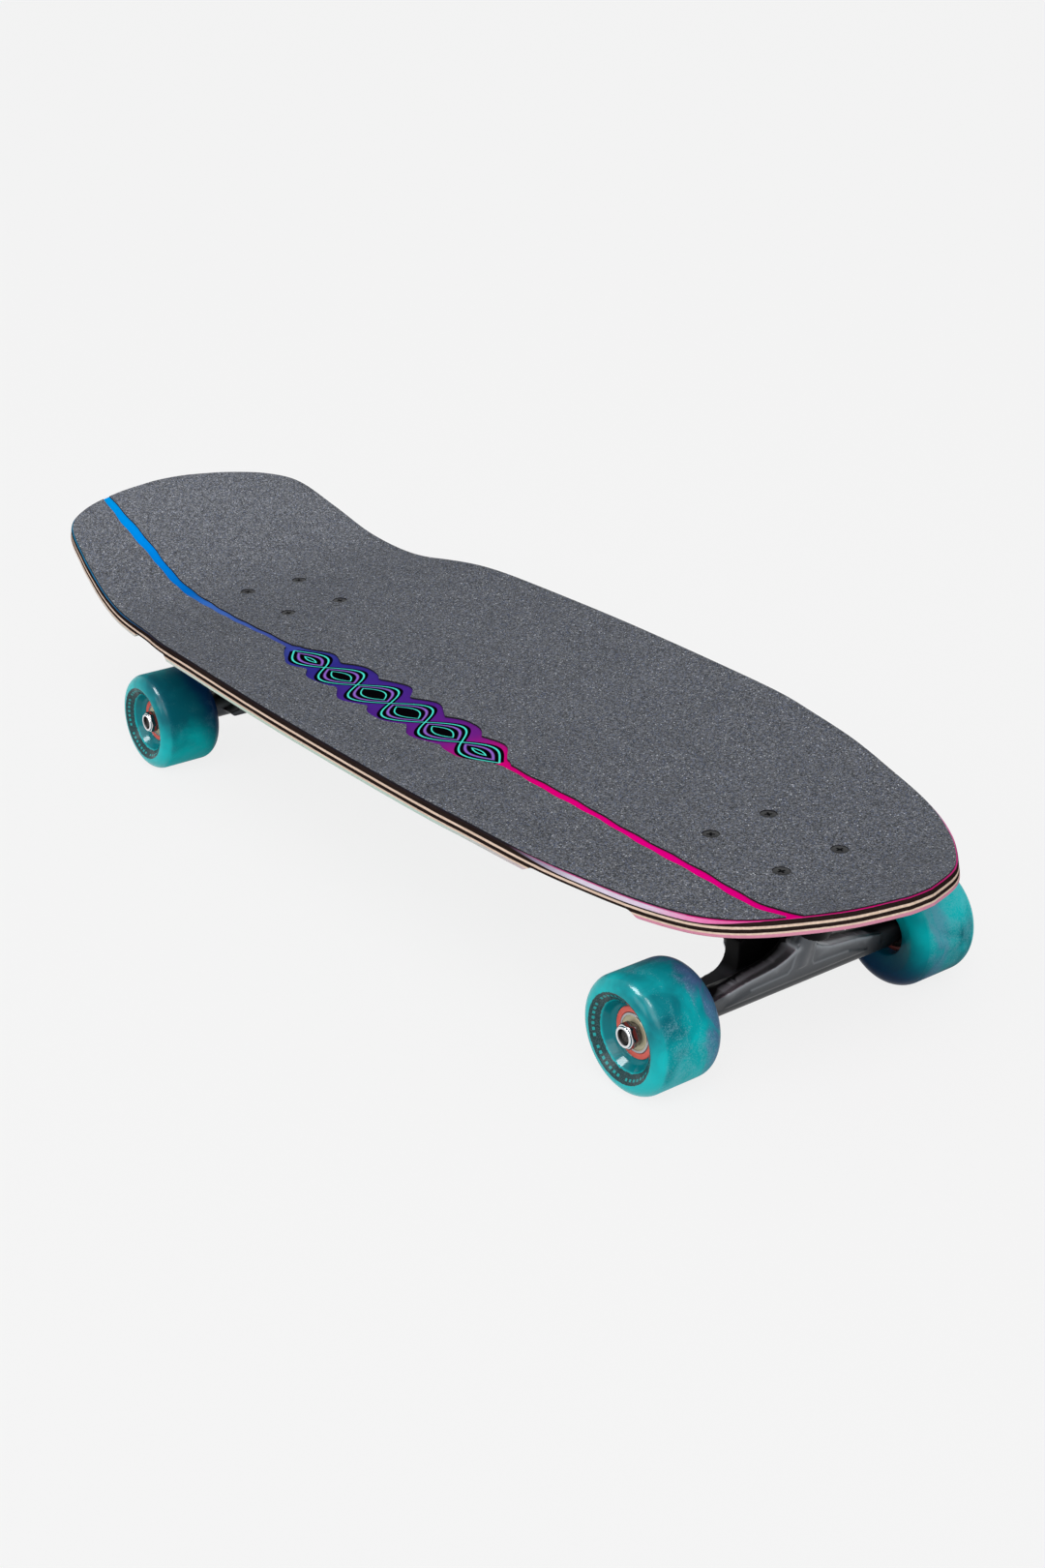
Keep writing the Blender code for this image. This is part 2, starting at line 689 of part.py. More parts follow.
def hexagon(name, across, bottom, top):
    return cylinder(name, across / math.sqrt(3.0), bottom, top, 6)


def make_bolts():
    """The deck bolts and their nuts, made from the baseplate's top face down."""
    nut_top = -PLATE_THICKNESS - GAP
    nut_foot = nut_top - BOLT_NUT_HEIGHT
    for truck, centre_y, outward in TRUCKS:
        head_top = bolt_head_top(centre_y) - PLATE_TOP
        profile = [
            (0.0, head_top),
            (BOLT_HEAD_RADIUS, head_top),
            (BOLT_HEAD_RADIUS, head_top - BOLT_HEAD_RIM),
            (BOLT_RADIUS, head_top - BOLT_HEAD_HEIGHT),
            (BOLT_RADIUS, nut_foot - BOLT_TAIL),
            (0.0, nut_foot - BOLT_TAIL),
        ]
        bolt = turned("bolt", profile, BOLT_SIDES)
        nut = hexagon("nut", BOLT_NUT_ACROSS, nut_foot, nut_top)
        nut = cut(nut, cylinder(
            "bore", BOLT_RADIUS + GAP, nut_foot - CUT_PAST, nut_top + CUT_PAST, BOLT_SIDES))
        for piece, label in ((bolt, "bolt"), (nut, "bolt_nut")):
            first = None
            for hand, side in HANDS:
                for end, way in (("outer", outward), ("inner", -outward)):
                    name = f"{truck}_{label}_{end}_{hand}"
                    place = Vector((
                        side * PATTERN_WIDTH / 2, centre_y + way * PATTERN_LENGTH / 2, PLATE_TOP))
                    if first is None:
                        first = finish(piece, name, BLACK_STEEL)
                        first.location = place
                    else:
                        copy_piece(first, name, None, place)


# Truck pieces, in the truck's own frame: +Y outward, origin on the baseplate's top face

def kingpin_piece(obj):
    """Stand a piece that was made round Z on the kingpin, with the ring's centre at z = 0."""
    return along(obj, RING_CENTRE, KINGPIN_UP)


def pivot_piece(obj):
    """Stand a piece that was made round Z on the pivot's stub, with the pivot at z = 0."""
    return along(obj, PIVOT_CENTRE, STUB_UP)


def plate_outline():
    return rounded_rectangle(
        -PLATE_WIDTH / 2, -PLATE_LENGTH_IN, PLATE_WIDTH / 2, PLATE_LENGTH_OUT, PLATE_CORNER)


def make_riser():
    window = rounded_rectangle(
        -RISER_WINDOW_WIDTH / 2, -RISER_WINDOW_LENGTH / 2,
        RISER_WINDOW_WIDTH / 2, RISER_WINDOW_LENGTH / 2, RISER_WINDOW_CORNER, 2)
    holes = [circle(point, BOLT_RADIUS + GAP, BOLT_SIDES) for point in pattern_points(0.0)]
    riser = plate("riser", [plate_outline(), window] + holes, RISER_THICKNESS)
    riser.data.transform(Matrix.Translation((0.0, 0.0, GAP)))
    return riser


def below_plate(obj):
    """Trim a shape that grows down from the baseplate, so that it ends inside the plate."""
    reach = PLATE_LENGTH_IN + PLATE_LENGTH_OUT
    return cut(obj, box("trim", (-reach, -reach, -PLATE_THICKNESS / 2), (reach, reach, reach)))


def make_baseplate():
    """Plate with the kingpin's slanted boss, the pivot's cupped housing and a spine between."""
    base = plate("baseplate", [plate_outline()], PLATE_THICKNESS)
    base.data.transform(Matrix.Translation((0.0, 0.0, -PLATE_THICKNESS)))
    bevel = base.modifiers.new("edge", "BEVEL")
    bevel.width = PLATE_BEVEL
    bevel.segments = 1
    bevel.limit_method = "ANGLE"
    bevel.angle_limit = math.radians(60.0)
    base = bake(base)
    spine = box(
        "spine", (-SPINE_WIDTH / 2, RING_CENTRE.y, -SPINE_DEPTH),
        (SPINE_WIDTH / 2, PIVOT_CENTRE.y, SINK - PLATE_THICKNESS))
    boss = kingpin_piece(cylinder(
        "boss", BOSS_RADIUS, SEAT_HEIGHT, SEAT_HEIGHT + TRUCK_HEIGHT, BUSHING_SIDES))
    housing = pivot_piece(cylinder(
        "housing", HOUSING_RADIUS, -CUP_DEPTH, CUP_TOP + PIVOT_DROP, BUSHING_SIDES))
    base = fuse(base, below_plate(boss), below_plate(housing), spine)
    for x, y in pattern_points(0.0):
        hole = cylinder("hole", BOLT_RADIUS + GAP, -SPINE_DEPTH, CUT_PAST, BOLT_SIDES)
        base = cut(base, along(hole, Vector((x, y, 0.0)), UP))
    pin_bore = kingpin_piece(cylinder(
        "pin_bore", KINGPIN_RADIUS + GAP, SEAT_HEIGHT - CUT_PAST, HEAD_FOOT + SINK, AXLE_SIDES))
    pocket = kingpin_piece(cylinder(
        "pocket", KINGPIN_HEAD_ACROSS / math.sqrt(3.0) + HEAD_CLEARANCE,
        HEAD_FOOT - GAP, HEAD_FOOT + TRUCK_HEIGHT, AXLE_SIDES))
    cup_bore = pivot_piece(cylinder(
        "cup_bore", HOUSING_BORE, -CUP_DEPTH - CUT_PAST, CUP_TOP + GAP, BUSHING_SIDES))
    return cut(base, pin_bore, pocket, cup_bore)


def make_pivot_cup():
    """Cup with a round seat for the pivot's tip and a flared mouth."""
    profile = [
        (0.0, CUP_TOP),
        (CUP_OUTER, CUP_TOP),
        (CUP_OUTER, -CUP_DEPTH),
        (CUP_RADIUS + CUP_MOUTH_FLARE, -CUP_DEPTH),
    ]
    profile += arc((0.0, 0.0), CUP_RADIUS, 0, 66, 2)
    profile.append((0.0, CUP_RADIUS))
    return pivot_piece(turned("pivot_cup", profile, BUSHING_SIDES))


def make_kingpin():
    pin = cylinder("kingpin", KINGPIN_RADIUS, KINGPIN_END, HEAD_FOOT + SINK, AXLE_SIDES)
    head = hexagon("head", KINGPIN_HEAD_ACROSS, HEAD_FOOT, HEAD_FOOT + KINGPIN_HEAD_HEIGHT)
    return kingpin_piece(fuse(pin, head))


def make_kingpin_nut():
    nut = hexagon("kingpin_nut", KINGPIN_HEAD_ACROSS, KINGPIN_NUT_FOOT, KINGPIN_NUT_TOP)
    bore = cylinder(
        "bore", KINGPIN_RADIUS + GAP, KINGPIN_NUT_FOOT - CUT_PAST, KINGPIN_NUT_TOP + CUT_PAST,
        AXLE_SIDES)
    return kingpin_piece(cut(nut, bore))


def make_ring_piece(name, outer):
    """A ring on the kingpin, turned from (radius, height) points down its outer side."""
    bore = KINGPIN_RADIUS + GAP
    profile = outer + [(bore, outer[-1][1]), (bore, outer[0][1])]
    return kingpin_piece(turned(name, profile, BUSHING_SIDES))


def make_board_bushing():
    """The barrel-shaped bushing between the hanger's ring and the baseplate."""
    top = BOARD_BUSHING_FOOT + BOARD_BUSHING_HEIGHT
    return make_ring_piece("bushing_board", [
        (BUSHING_END, top),
        (BUSHING_RADIUS, top - BUSHING_SHOULDER),
        (BUSHING_RADIUS, BOARD_BUSHING_FOOT + BUSHING_SHOULDER),
        (BUSHING_END, BOARD_BUSHING_FOOT),
    ])


def make_road_bushing():
    """The cone-shaped bushing between the hanger's ring and the kingpin's nut."""
    return make_ring_piece("bushing_road", [
        (BUSHING_END, ROAD_BUSHING_TOP),
        (BUSHING_RADIUS, ROAD_BUSHING_TOP - BUSHING_SHOULDER),
        (ROAD_BUSHING_END, ROAD_BUSHING_TOP - ROAD_BUSHING_HEIGHT),
    ])


def make_washer(name, foot):
    return make_ring_piece(name, [(WASHER_RADIUS, foot + WASHER_THICKNESS), (WASHER_RADIUS, foot)])


def wing(name, half, back, front):
    """A flat casting web across the truck: the right half of its outline from its upper
    centre round to its lower one, as (x, height over the axle), between two outward places.
    """
    right = [point for point in half if point[0] > 0.0]
    outline = list(right)
    if half[-1][1] != right[-1][1]:
        outline.append((0.0, half[-1][1]))
    outline += [(-x, height) for x, height in reversed(right)]
    if half[0][1] != right[0][1]:
        outline.append((0.0, half[0][1]))
    web = plate(name, [outline], front - back)
    stand = Matrix.Rotation(math.radians(90.0), 4, "X")
    web.data.transform(Matrix.Translation(AXLE_CENTRE + Vector((0.0, front, 0.0))) @ stand)
    return web


def make_flank():
    """The broad web behind the axle, with filleted feet that run out along the tube.

    It is notched round the two bushings, down to the bushing ring.
    """
    foot_low = FLANK_FOOT_TOP - FLANK_FOOT_DEPTH
    fillet_centre = (FLANK_HALF_WIDTH + FLANK_FILLET, FLANK_FILLET_FOOT + FLANK_FILLET)
    half = [
        (0.0, FLANK_TOP - FLANK_DIP),
        (FLANK_HALF_WIDTH - FLANK_CORNER, FLANK_TOP),
        (FLANK_HALF_WIDTH, FLANK_TOP - FLANK_CORNER / 2),
    ]
    half += arc(fillet_centre, FLANK_FILLET, 180, 255, 4)
    half += [
        (FLANK_FOOT_HALF_WIDTH, FLANK_FOOT_TOP),
        (FLANK_FOOT_HALF_WIDTH - FLANK_FOOT_DEPTH, foot_low),
        (0.0, foot_low),
    ]
    flank = wing("flank", half, FLANK_BACK, FLANK_FRONT)
    notch = BUSHING_RADIUS + NOTCH_CLEARANCE
    inside_ring = RING_THICKNESS / 2 - SINK
    board_notch = kingpin_piece(cylinder(
        "board_notch", notch, inside_ring, TRUCK_HEIGHT, TUBE_SIDES))
    road_notch = kingpin_piece(cylinder(
        "road_notch", notch, -TRUCK_HEIGHT, -inside_ring, TUBE_SIDES))
    return cut(flank, board_notch, road_notch)


def make_shield():
    """The web in front of the tube, which rises in two long sweeps to the pivot's stub."""
    end = TUBE_RADIUS - SHIELD_SINK
    half = [(0.0, SHIELD_TOP), (SHIELD_NECK, SHIELD_TOP)] + SHIELD_RIDGE
    half += [(SHIELD_HALF_WIDTH, end), (SHIELD_HALF_WIDTH, 0.0), (0.0, 0.0)]
    return wing("shield", half, 0.0, SHIELD_FRONT)


def make_rib():
    """The raised T on the shield: a column under the pivot and a bar along the axle."""
    top = SHIELD_TOP - RIB_PROUD / 2
    half = [
        (0.0, top),
        (RIB_HALF_WIDTH, top),
        (RIB_HALF_WIDTH + RIB_FLARE / 3, RIB_BAR_TOP + RIB_FLARE),
        (RIB_HALF_WIDTH + RIB_FLARE, RIB_BAR_TOP),
        (RIB_BAR_HALF_WIDTH, RIB_BAR_TOP),
        (RIB_BAR_HALF_WIDTH + RIB_FLARE, RIB_BAR_FOOT),
        (0.0, RIB_BAR_FOOT),
    ]
    return wing("rib", half, SHIELD_FRONT / 2, SHIELD_FRONT + RIB_PROUD)


def make_hanger():
    """The cast hanger: axle tube, bushing ring, flank, shield and pivot stub in one piece."""
    tube = along(
        cylinder("hanger", TUBE_RADIUS, -TUBE_HALF_LENGTH, TUBE_HALF_LENGTH, TUBE_SIDES),
        AXLE_CENTRE, SIDEWAYS)
    half_ring = RING_THICKNESS / 2
    ring = kingpin_piece(cylinder("ring", RING_RADIUS, -half_ring, half_ring, TUBE_SIDES))
    stub = pivot_piece(cylinder(
        "stub", STUB_ROOT_RADIUS, -STUB_LENGTH, 0.0, BUSHING_SIDES, STUB_TIP_RADIUS))
    tip = pivot_piece(ball("tip", STUB_TIP_RADIUS, TIP_SIDES))
    hanger = fuse(tube, make_flank(), ring, make_shield(), make_rib(), stub, tip)
    bore = kingpin_piece(cylinder(
        "bore", KINGPIN_RADIUS + RING_PLAY, -TRUCK_HEIGHT, TRUCK_HEIGHT, BUSHING_SIDES))
    axle_reach = TUBE_HALF_LENGTH + CUT_PAST
    axle_bore = along(
        cylinder("axle_bore", AXLE_RADIUS + GAP, -axle_reach, axle_reach, AXLE_SIDES),
        AXLE_CENTRE, SIDEWAYS)
    return boolean(cut(hanger, bore), axle_bore, "DIFFERENCE", "MANIFOLD")


def make_axle():
    """Axle with the inner speed washers and the spacers between the bearings."""
    washer_start = TUBE_HALF_LENGTH + GAP
    washer_end = washer_start + SPEED_WASHER_THICKNESS
    spacer_start = WHEEL_OFFSET - SPACER_LENGTH / 2
    spacer_end = WHEEL_OFFSET + SPACER_LENGTH / 2
    end = AXLE_NUT_END - AXLE_SET_IN
    half = [
        (AXLE_RADIUS, washer_start),
        (SPEED_WASHER_RADIUS, washer_start),
        (SPEED_WASHER_RADIUS, washer_end),
        (AXLE_RADIUS, washer_end),
        (AXLE_RADIUS, spacer_start),
        (SPACER_RADIUS, spacer_start),
        (SPACER_RADIUS, spacer_end),
        (AXLE_RADIUS, spacer_end),
        (AXLE_RADIUS, end - AXLE_CHAMFER),
        (AXLE_RADIUS - AXLE_CHAMFER, end),
        (0.0, end),
    ]
    profile = half[::-1] + [(radius, -height) for radius, height in half]
    return along(turned("axle", profile, AXLE_SIDES), AXLE_CENTRE, SIDEWAYS)


# Wheel pieces, turned round Z with +Z outward and the wheel's middle at z = 0

def make_tyre():
    """Wheel tyre with rounded lips: dished down to the core outside, nearly shut inside."""
    half = TYRE_WIDTH / 2
    bore = CORE_RADIUS + GAP
    shelf = CORE_RADIUS + RECESS_SHELF
    along_outer, radial_outer = TYRE_OUTER_LIP
    along_inner, radial_inner = TYRE_INNER_LIP
    outer_lip = []
    inner_lip = []
    for step in range(LIP_STEPS + 1):
        angle = math.radians(90.0 * step / LIP_STEPS)
        outer_lip.append((
            TYRE_RADIUS - radial_outer * (1 - math.sin(angle)),
            half - along_outer * (1 - math.cos(angle))))
        inner_lip.append((
            TYRE_RADIUS - radial_inner * (1 - math.cos(angle)),
            along_inner * (1 - math.sin(angle)) - half))
    profile = [
        (bore, CORE_HALF_WIDTH),
        (shelf, CORE_HALF_WIDTH + RECESS_SHELF_RISE),
        (shelf + OUTER_RECESS_SLOPE, half - OUTER_FACE_DISH),
    ]
    profile += outer_lip + inner_lip
    profile += [
        (INNER_MOUTH + INNER_MOUTH_SLOPE, INNER_FACE_DISH - half),
        (INNER_MOUTH, -CORE_HALF_WIDTH - GAP),
        (bore, -CORE_HALF_WIDTH - GAP),
    ]
    return turned("tyre", profile, TYRE_SIDES)


def make_core():
    """Hub core with a seat for a bearing at each end and a web between them."""
    seat = BEARING_RADIUS + GAP
    web = seat - CORE_SHOULDER
    shoulder = SPACER_LENGTH / 2
    profile = [
        (seat, CORE_HALF_WIDTH),
        (CORE_RADIUS, CORE_HALF_WIDTH),
        (CORE_RADIUS, -CORE_HALF_WIDTH),
        (seat, -CORE_HALF_WIDTH),
        (seat, -shoulder),
        (web, -shoulder),
        (web, shoulder),
        (seat, shoulder),
    ]
    return turned("core", profile, BEARING_SIDES)


def make_bearing():
    bore = AXLE_RADIUS + GAP
    half = BEARING_WIDTH / 2
    profile = [(bore, half), (BEARING_RADIUS, half), (BEARING_RADIUS, -half), (bore, -half)]
    return turned("bearing", profile, BEARING_SIDES)


def make_axle_nut():
    """Axle nut with the outer speed washer under it, from the washer's inner face at z = 0."""
    end = SPEED_WASHER_THICKNESS + AXLE_NUT_HEIGHT
    washer = cylinder("washer", SPEED_WASHER_RADIUS, 0.0, SPEED_WASHER_THICKNESS + SINK, AXLE_SIDES)
    nut = hexagon("nut", AXLE_NUT_ACROSS, SPEED_WASHER_THICKNESS, end)
    bore = cylinder("bore", AXLE_RADIUS + GAP, -CUT_PAST, end + CUT_PAST, AXLE_SIDES)
    return cut(fuse(nut, washer), bore)


def make_trucks():
    """Both trucks are the same: the rear one is turned round to face the tail."""
    empties = {}
    for truck, centre_y, outward in TRUCKS:
        empty = bpy.data.objects.new(f"{truck}_truck", None)
        empty.location = (0.0, centre_y, PLATE_TOP)
        empty.rotation_euler = (0.0, 0.0, 0.0 if outward > 0 else math.pi)
        empties[truck] = link(empty, PARTS)
    pieces = [
        ("riser_pad", make_riser(), SOFT_BLACK, Vector()),
        ("baseplate", make_baseplate(), PAINTED, Vector()),
        ("pivot_cup", make_pivot_cup(), SOFT_BLACK, PIVOT_CENTRE),
        ("kingpin", make_kingpin(), BLACK_STEEL, RING_CENTRE),
        ("kingpin_nut", make_kingpin_nut(), CHROME, RING_CENTRE),
        ("bushing_board", make_board_bushing(), SOFT_BLACK, RING_CENTRE),
        ("bushing_road", make_road_bushing(), SOFT_BLACK, RING_CENTRE),
        ("washer_board", make_washer("washer_board", BOARD_WASHER_FOOT), CHROME, RING_CENTRE),
        ("washer_road", make_washer("washer_road", ROAD_WASHER_FOOT), CHROME, RING_CENTRE),
        ("hanger", make_hanger(), PAINTED, RING_CENTRE),
        ("axle", make_axle(), CHROME, AXLE_CENTRE),
    ]
    for label, obj, mat, origin in pieces:
        first = finish(obj, f"front_{label}", mat, empties["front"], origin)
        copy_piece(first, f"rear_{label}", empties["rear"])


def make_wheels():
    """Four wheels, each with its two bearings and its nut, facing outward."""
    bearing_middle = SPACER_LENGTH / 2 + GAP + BEARING_WIDTH / 2
    pieces = [
        ("tyre", make_tyre(), TEAL, 0.0),
        ("core", make_core(), CORAL, 0.0),
        ("bearing_outer", make_bearing(), CREAM, bearing_middle),
        ("bearing_inner", make_bearing(), CREAM, -bearing_middle),
        ("axle_nut", make_axle_nut(), CHROME, CORE_HALF_WIDTH + GAP),
    ]
    for label, obj, mat, shift in pieces:
        obj.data.transform(Matrix.Translation((0.0, 0.0, shift)))
        first = None
        for truck, centre_y, outward in TRUCKS:
            for hand, side in HANDS:
                name = f"{truck}_{hand}_{label}"
                if first is None:
                    first = finish(obj, name, mat)
                    piece = first
                else:
                    piece = copy_piece(first, name, None)
                axle_y = centre_y + outward * AXLE_SETOUT
                place = Matrix.Translation((side * WHEEL_OFFSET, axle_y, AXLE_HEIGHT))
                piece.matrix_world = place @ Matrix.Rotation(side * math.radians(90.0), 4, "Y")


make_deck()
make_grip()
make_bolts()
make_trucks()
make_wheels()
bpy.context.view_layer.update()
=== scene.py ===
"""The cruiser skateboard's looks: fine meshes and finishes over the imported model.

Units are metres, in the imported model's frame: +Y points to the nose, +X to the rider's
right and +Z up, and the wheels stand on z = 0.
"""

import math

import bmesh
import bpy
from mathutils import Matrix, Vector


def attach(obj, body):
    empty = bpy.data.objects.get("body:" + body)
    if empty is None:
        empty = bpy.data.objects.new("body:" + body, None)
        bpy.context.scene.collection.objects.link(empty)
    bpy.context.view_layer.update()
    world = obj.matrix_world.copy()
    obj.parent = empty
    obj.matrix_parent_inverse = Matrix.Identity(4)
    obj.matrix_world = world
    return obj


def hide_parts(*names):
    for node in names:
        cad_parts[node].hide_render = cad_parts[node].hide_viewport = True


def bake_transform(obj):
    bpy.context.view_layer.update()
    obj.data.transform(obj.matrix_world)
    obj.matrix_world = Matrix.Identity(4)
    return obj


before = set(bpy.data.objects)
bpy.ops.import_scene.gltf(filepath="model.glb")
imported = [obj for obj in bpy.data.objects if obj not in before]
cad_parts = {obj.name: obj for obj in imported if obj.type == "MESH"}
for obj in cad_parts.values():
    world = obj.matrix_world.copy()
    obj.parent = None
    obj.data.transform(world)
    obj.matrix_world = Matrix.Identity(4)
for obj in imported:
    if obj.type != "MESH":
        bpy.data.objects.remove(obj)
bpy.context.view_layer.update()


# Deck: seven maple plies pressed together, with a kicked tail, a short nose and raised rails.
# It is sawn to its outline, the edges are rounded, and shallow hollows are ground above the
# wheels. Its top is printed from blue to magenta, and the bolt holes are countersunk.

MM = 0.001
DECK_TOP = 102.82 * MM           # of the centre line, over the ground
DECK_THICKNESS = 8.8 * MM
EDGE_ROUND = 0.8 * MM
SHOULDER_ROUND = 1.2 * MM        # added to it where the nose's shoulders are sanded down
SHOULDER = (205 * MM, 250 * MM, 318 * MM, 345 * MM)    # where it starts, is full, fades, ends
DECK_HALF_WIDTH = 132.9 * MM
CONCAVE_RISE = 11.0 * MM
NOSE_FADE = 249.0 * MM           # length over which the concave dies away, back from the tip
NOSE_FADE_SHARE = 1.056
TAIL_FADE = 273.0 * MM
TAIL_FADE_SHARE = 1.178
WAIST_DIP = 2.6 * MM             # fall of the rails over the rear wheels
WAIST_DIP_PLACE = 219.9 * MM
WAIST_DIP_REACH = 26.6 * MM
NOSE_REACH = 382.3 * MM
TAIL_REACH = 381.3 * MM
NOSE_BEND = 70.0 * MM
NOSE_ANGLE = math.radians(14.6)
NOSE_RADIUS = 142.0 * MM
KICK_LENGTH = 148.0 * MM
KICK_ANGLE = math.radians(20.6)
KICK_RADIUS = 160.5 * MM
BORDER_TRIM = 0.2 * MM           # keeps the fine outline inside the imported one's facets
# The outline's right half, nose to tail: share of the half width, share of the reach
DECK_OUTLINE = [
    (0.062, 0.999), (0.285, 0.968), (0.502, 0.902), (0.663, 0.836), (0.767, 0.762),
    (0.844, 0.672), (0.898, 0.592), (0.946, 0.470), (0.981, 0.340), (1.000, 0.000),
    (0.984, -0.281), (0.965, -0.409), (0.917, -0.502), (0.881, -0.572), (0.850, -0.665),
    (0.811, -0.762), (0.779, -0.830), (0.715, -0.917), (0.575, -0.959), (0.349, -0.985),
    (0.122, -0.998)]
OUTLINE_STEPS = 8
DECK_COLUMNS = 24
ROUND_STEPS = 5
TRUCKS = (("front", 279.1 * MM, 1), ("rear", -205.1 * MM, -1))    # name, middle, way out
HANDS = (("right", 1), ("left", -1))
PATTERN_LENGTH = 53.98 * MM
PATTERN_WIDTH = 41.28 * MM
BOLT_RADIUS = 2.4 * MM
BOLT_HEAD_RADIUS = 4.6 * MM
BOLT_HEAD_HEIGHT = 2.7 * MM
BOLT_HEAD_RIM = 0.5 * MM
BOLT_HEAD_RISE = 1.1 * MM        # of the heads over the deck
HOLE_PLAY = 0.3 * MM
HOLE_SIDES = 24
CUT_PAST = 5.0 * MM
WELL_DEPTH = 3.5 * MM
WELL_HALF_LENGTH = 34.0 * MM
WELL_INNER = 76.0 * MM
WELL_CORNER = 14.0 * MM
WELL_RAMP = 8.0 * MM             # length of the ground slope round each hollow
WELL_RAMP_OUTSIDE = 0.3          # share of it that lies outside the mark
WELL_RAMP_STEPS = 8
WELL_SETBACK = 23.7 * MM
WELL_EDGE_STEP = 4.0 * MM
FUSE = "UNION"
CUT = "DIFFERENCE"


def smooth_step(share):
    share = min(max(share, 0.0), 1.0)
    return share ** 2 * (3.0 - 2.0 * share)


def hump(distance, reach):
    """1 in the middle, falling smoothly to almost 0 from two reaches away."""
    return math.exp(-(distance / reach) ** 2)


def bend_height(distance, radius, angle):
    """Height of a sheet that bends up round a radius to an angle, then runs straight."""
    if distance <= 0.0:
        return 0.0
    reach = radius * math.sin(angle)
    if distance < reach:
        return radius - math.sqrt(radius ** 2 - distance ** 2)
    return radius * (1.0 - math.cos(angle)) + (distance - reach) * math.tan(angle)


def deck_height(x, y):
    """Height of the deck's upper face over the ground."""
    nose_fade = NOSE_FADE_SHARE * smooth_step((y - NOSE_REACH + NOSE_FADE) / NOSE_FADE)
    tail_fade = TAIL_FADE_SHARE * smooth_step((TAIL_FADE - TAIL_REACH - y) / TAIL_FADE)
    dip = WAIST_DIP * hump(y + WAIST_DIP_PLACE, WAIST_DIP_REACH)
    rise = CONCAVE_RISE * (1.0 - nose_fade - tail_fade) - dip
    kick = bend_height(KICK_LENGTH - TAIL_REACH - y, KICK_RADIUS, KICK_ANGLE)
    nose = bend_height(y - NOSE_REACH + NOSE_BEND, NOSE_RADIUS, NOSE_ANGLE)
    return DECK_TOP + rise * (x / DECK_HALF_WIDTH) ** 2 + kick + nose


def deck_normal(x, y):
    step = 0.5 * MM
    slope_x = (deck_height(x + step, y) - deck_height(x - step, y)) / (2 * step)
    slope_y = (deck_height(x, y + step) - deck_height(x, y - step)) / (2 * step)
    return Vector((-slope_x, -slope_y, 1.0)).normalized()


def deck_point(spot, depth):
    """A point the given depth below the upper face, square to it."""
    x, y = spot
    return Vector((x, y, deck_height(x, y))) - deck_normal(x, y) * depth


def depth_in_deck(point):
    """How deep a point lies below the upper face, square to it."""
    foot = point.copy()
    for attempt in range(4):
        normal = deck_normal(foot.x, foot.y)
        depth = (deck_height(foot.x, foot.y) - point.z) / normal.z
        foot = point + normal * depth
    return depth


def smooth_curve(points, steps):
    """A smooth curve through the points, with the given steps between them."""
    curve = []
    for index in range(len(points) - 1):
        before = Vector(points[max(index - 1, 0)])
        start = Vector(points[index])
        end = Vector(points[index + 1])
        after = Vector(points[min(index + 2, len(points) - 1)])
        leave = (end - before) / 2
        arrive = (after - start) / 2
        for step in range(steps):
            t = step / steps
            curve.append(
                start * (2 * t ** 3 - 3 * t ** 2 + 1) + leave * (t ** 3 - 2 * t ** 2 + t)
                + end * (3 * t ** 2 - 2 * t ** 3) + arrive * (t ** 3 - t ** 2))
    curve.append(Vector(points[-1]))
    return curve


def end_curve(corner, end):
    """Points of a nose or tail edge from its right corner, bowed out to the deck's end."""
    shares = [1.0 - 2.0 * column / DECK_COLUMNS for column in range(1, DECK_COLUMNS)]
    return [
        Vector((corner.x * across, corner.y + (end - corner.y) * (1.0 - across ** 2)))
        for across in shares]


def deck_border():
    """The deck's outline as a closed loop, and the number of rows between nose and tail."""
    right = smooth_curve(
        [(across * DECK_HALF_WIDTH, reach * (NOSE_REACH if reach > 0.0 else TAIL_REACH))
         for across, reach in DECK_OUTLINE], OUTLINE_STEPS)
    left = [Vector((-point.x, point.y)) for point in reversed(right)]
    nose = end_curve(right[0], NOSE_REACH)
    return right + end_curve(right[-1], -TAIL_REACH) + left + nose[::-1], len(right)


def edge_round(y):
    """Radius of the deck's upper edge, which is sanded rounder at the nose's shoulders."""
    start, full, fade, end = SHOULDER
    share = smooth_step((y - start) / (full - start)) - smooth_step((y - fade) / (end - fade))
    return EDGE_ROUND + SHOULDER_ROUND * share


def inset_loop(loop, steps):
    """A loop that runs clockwise from above, moved inwards by one step for each point."""
    result = []
    for index, (point, step) in enumerate(zip(loop, steps)):
        ahead = loop[(index + 1) % len(loop)] - loop[index - 1]
        result.append(point + Vector((ahead.y, -ahead.x)).normalized() * step)
    return result


def add_skin(bm, rings, caps=True, joined=False):
    """Add a surface through rings of points, capped at its ends or joined end to end.

    A ring of one point is a tip.
    """
    rings = [[bm.verts.new(point) for point in ring] for ring in rings]
    made = [bm.faces.new(rings[0]), bm.faces.new(rings[-1])] if caps else []
    for upper, lower in zip(rings, rings[1:] + (rings[:1] if joined else [])):
        for index in range(max(len(upper), len(lower))):
            corners = [
                upper[index % len(upper)], upper[(index + 1) % len(upper)],
                lower[(index + 1) % len(lower)], lower[index % len(lower)]]
            made.append(bm.faces.new(list(dict.fromkeys(corners))))
    bmesh.ops.recalc_face_normals(bm, faces=made)
    return rings


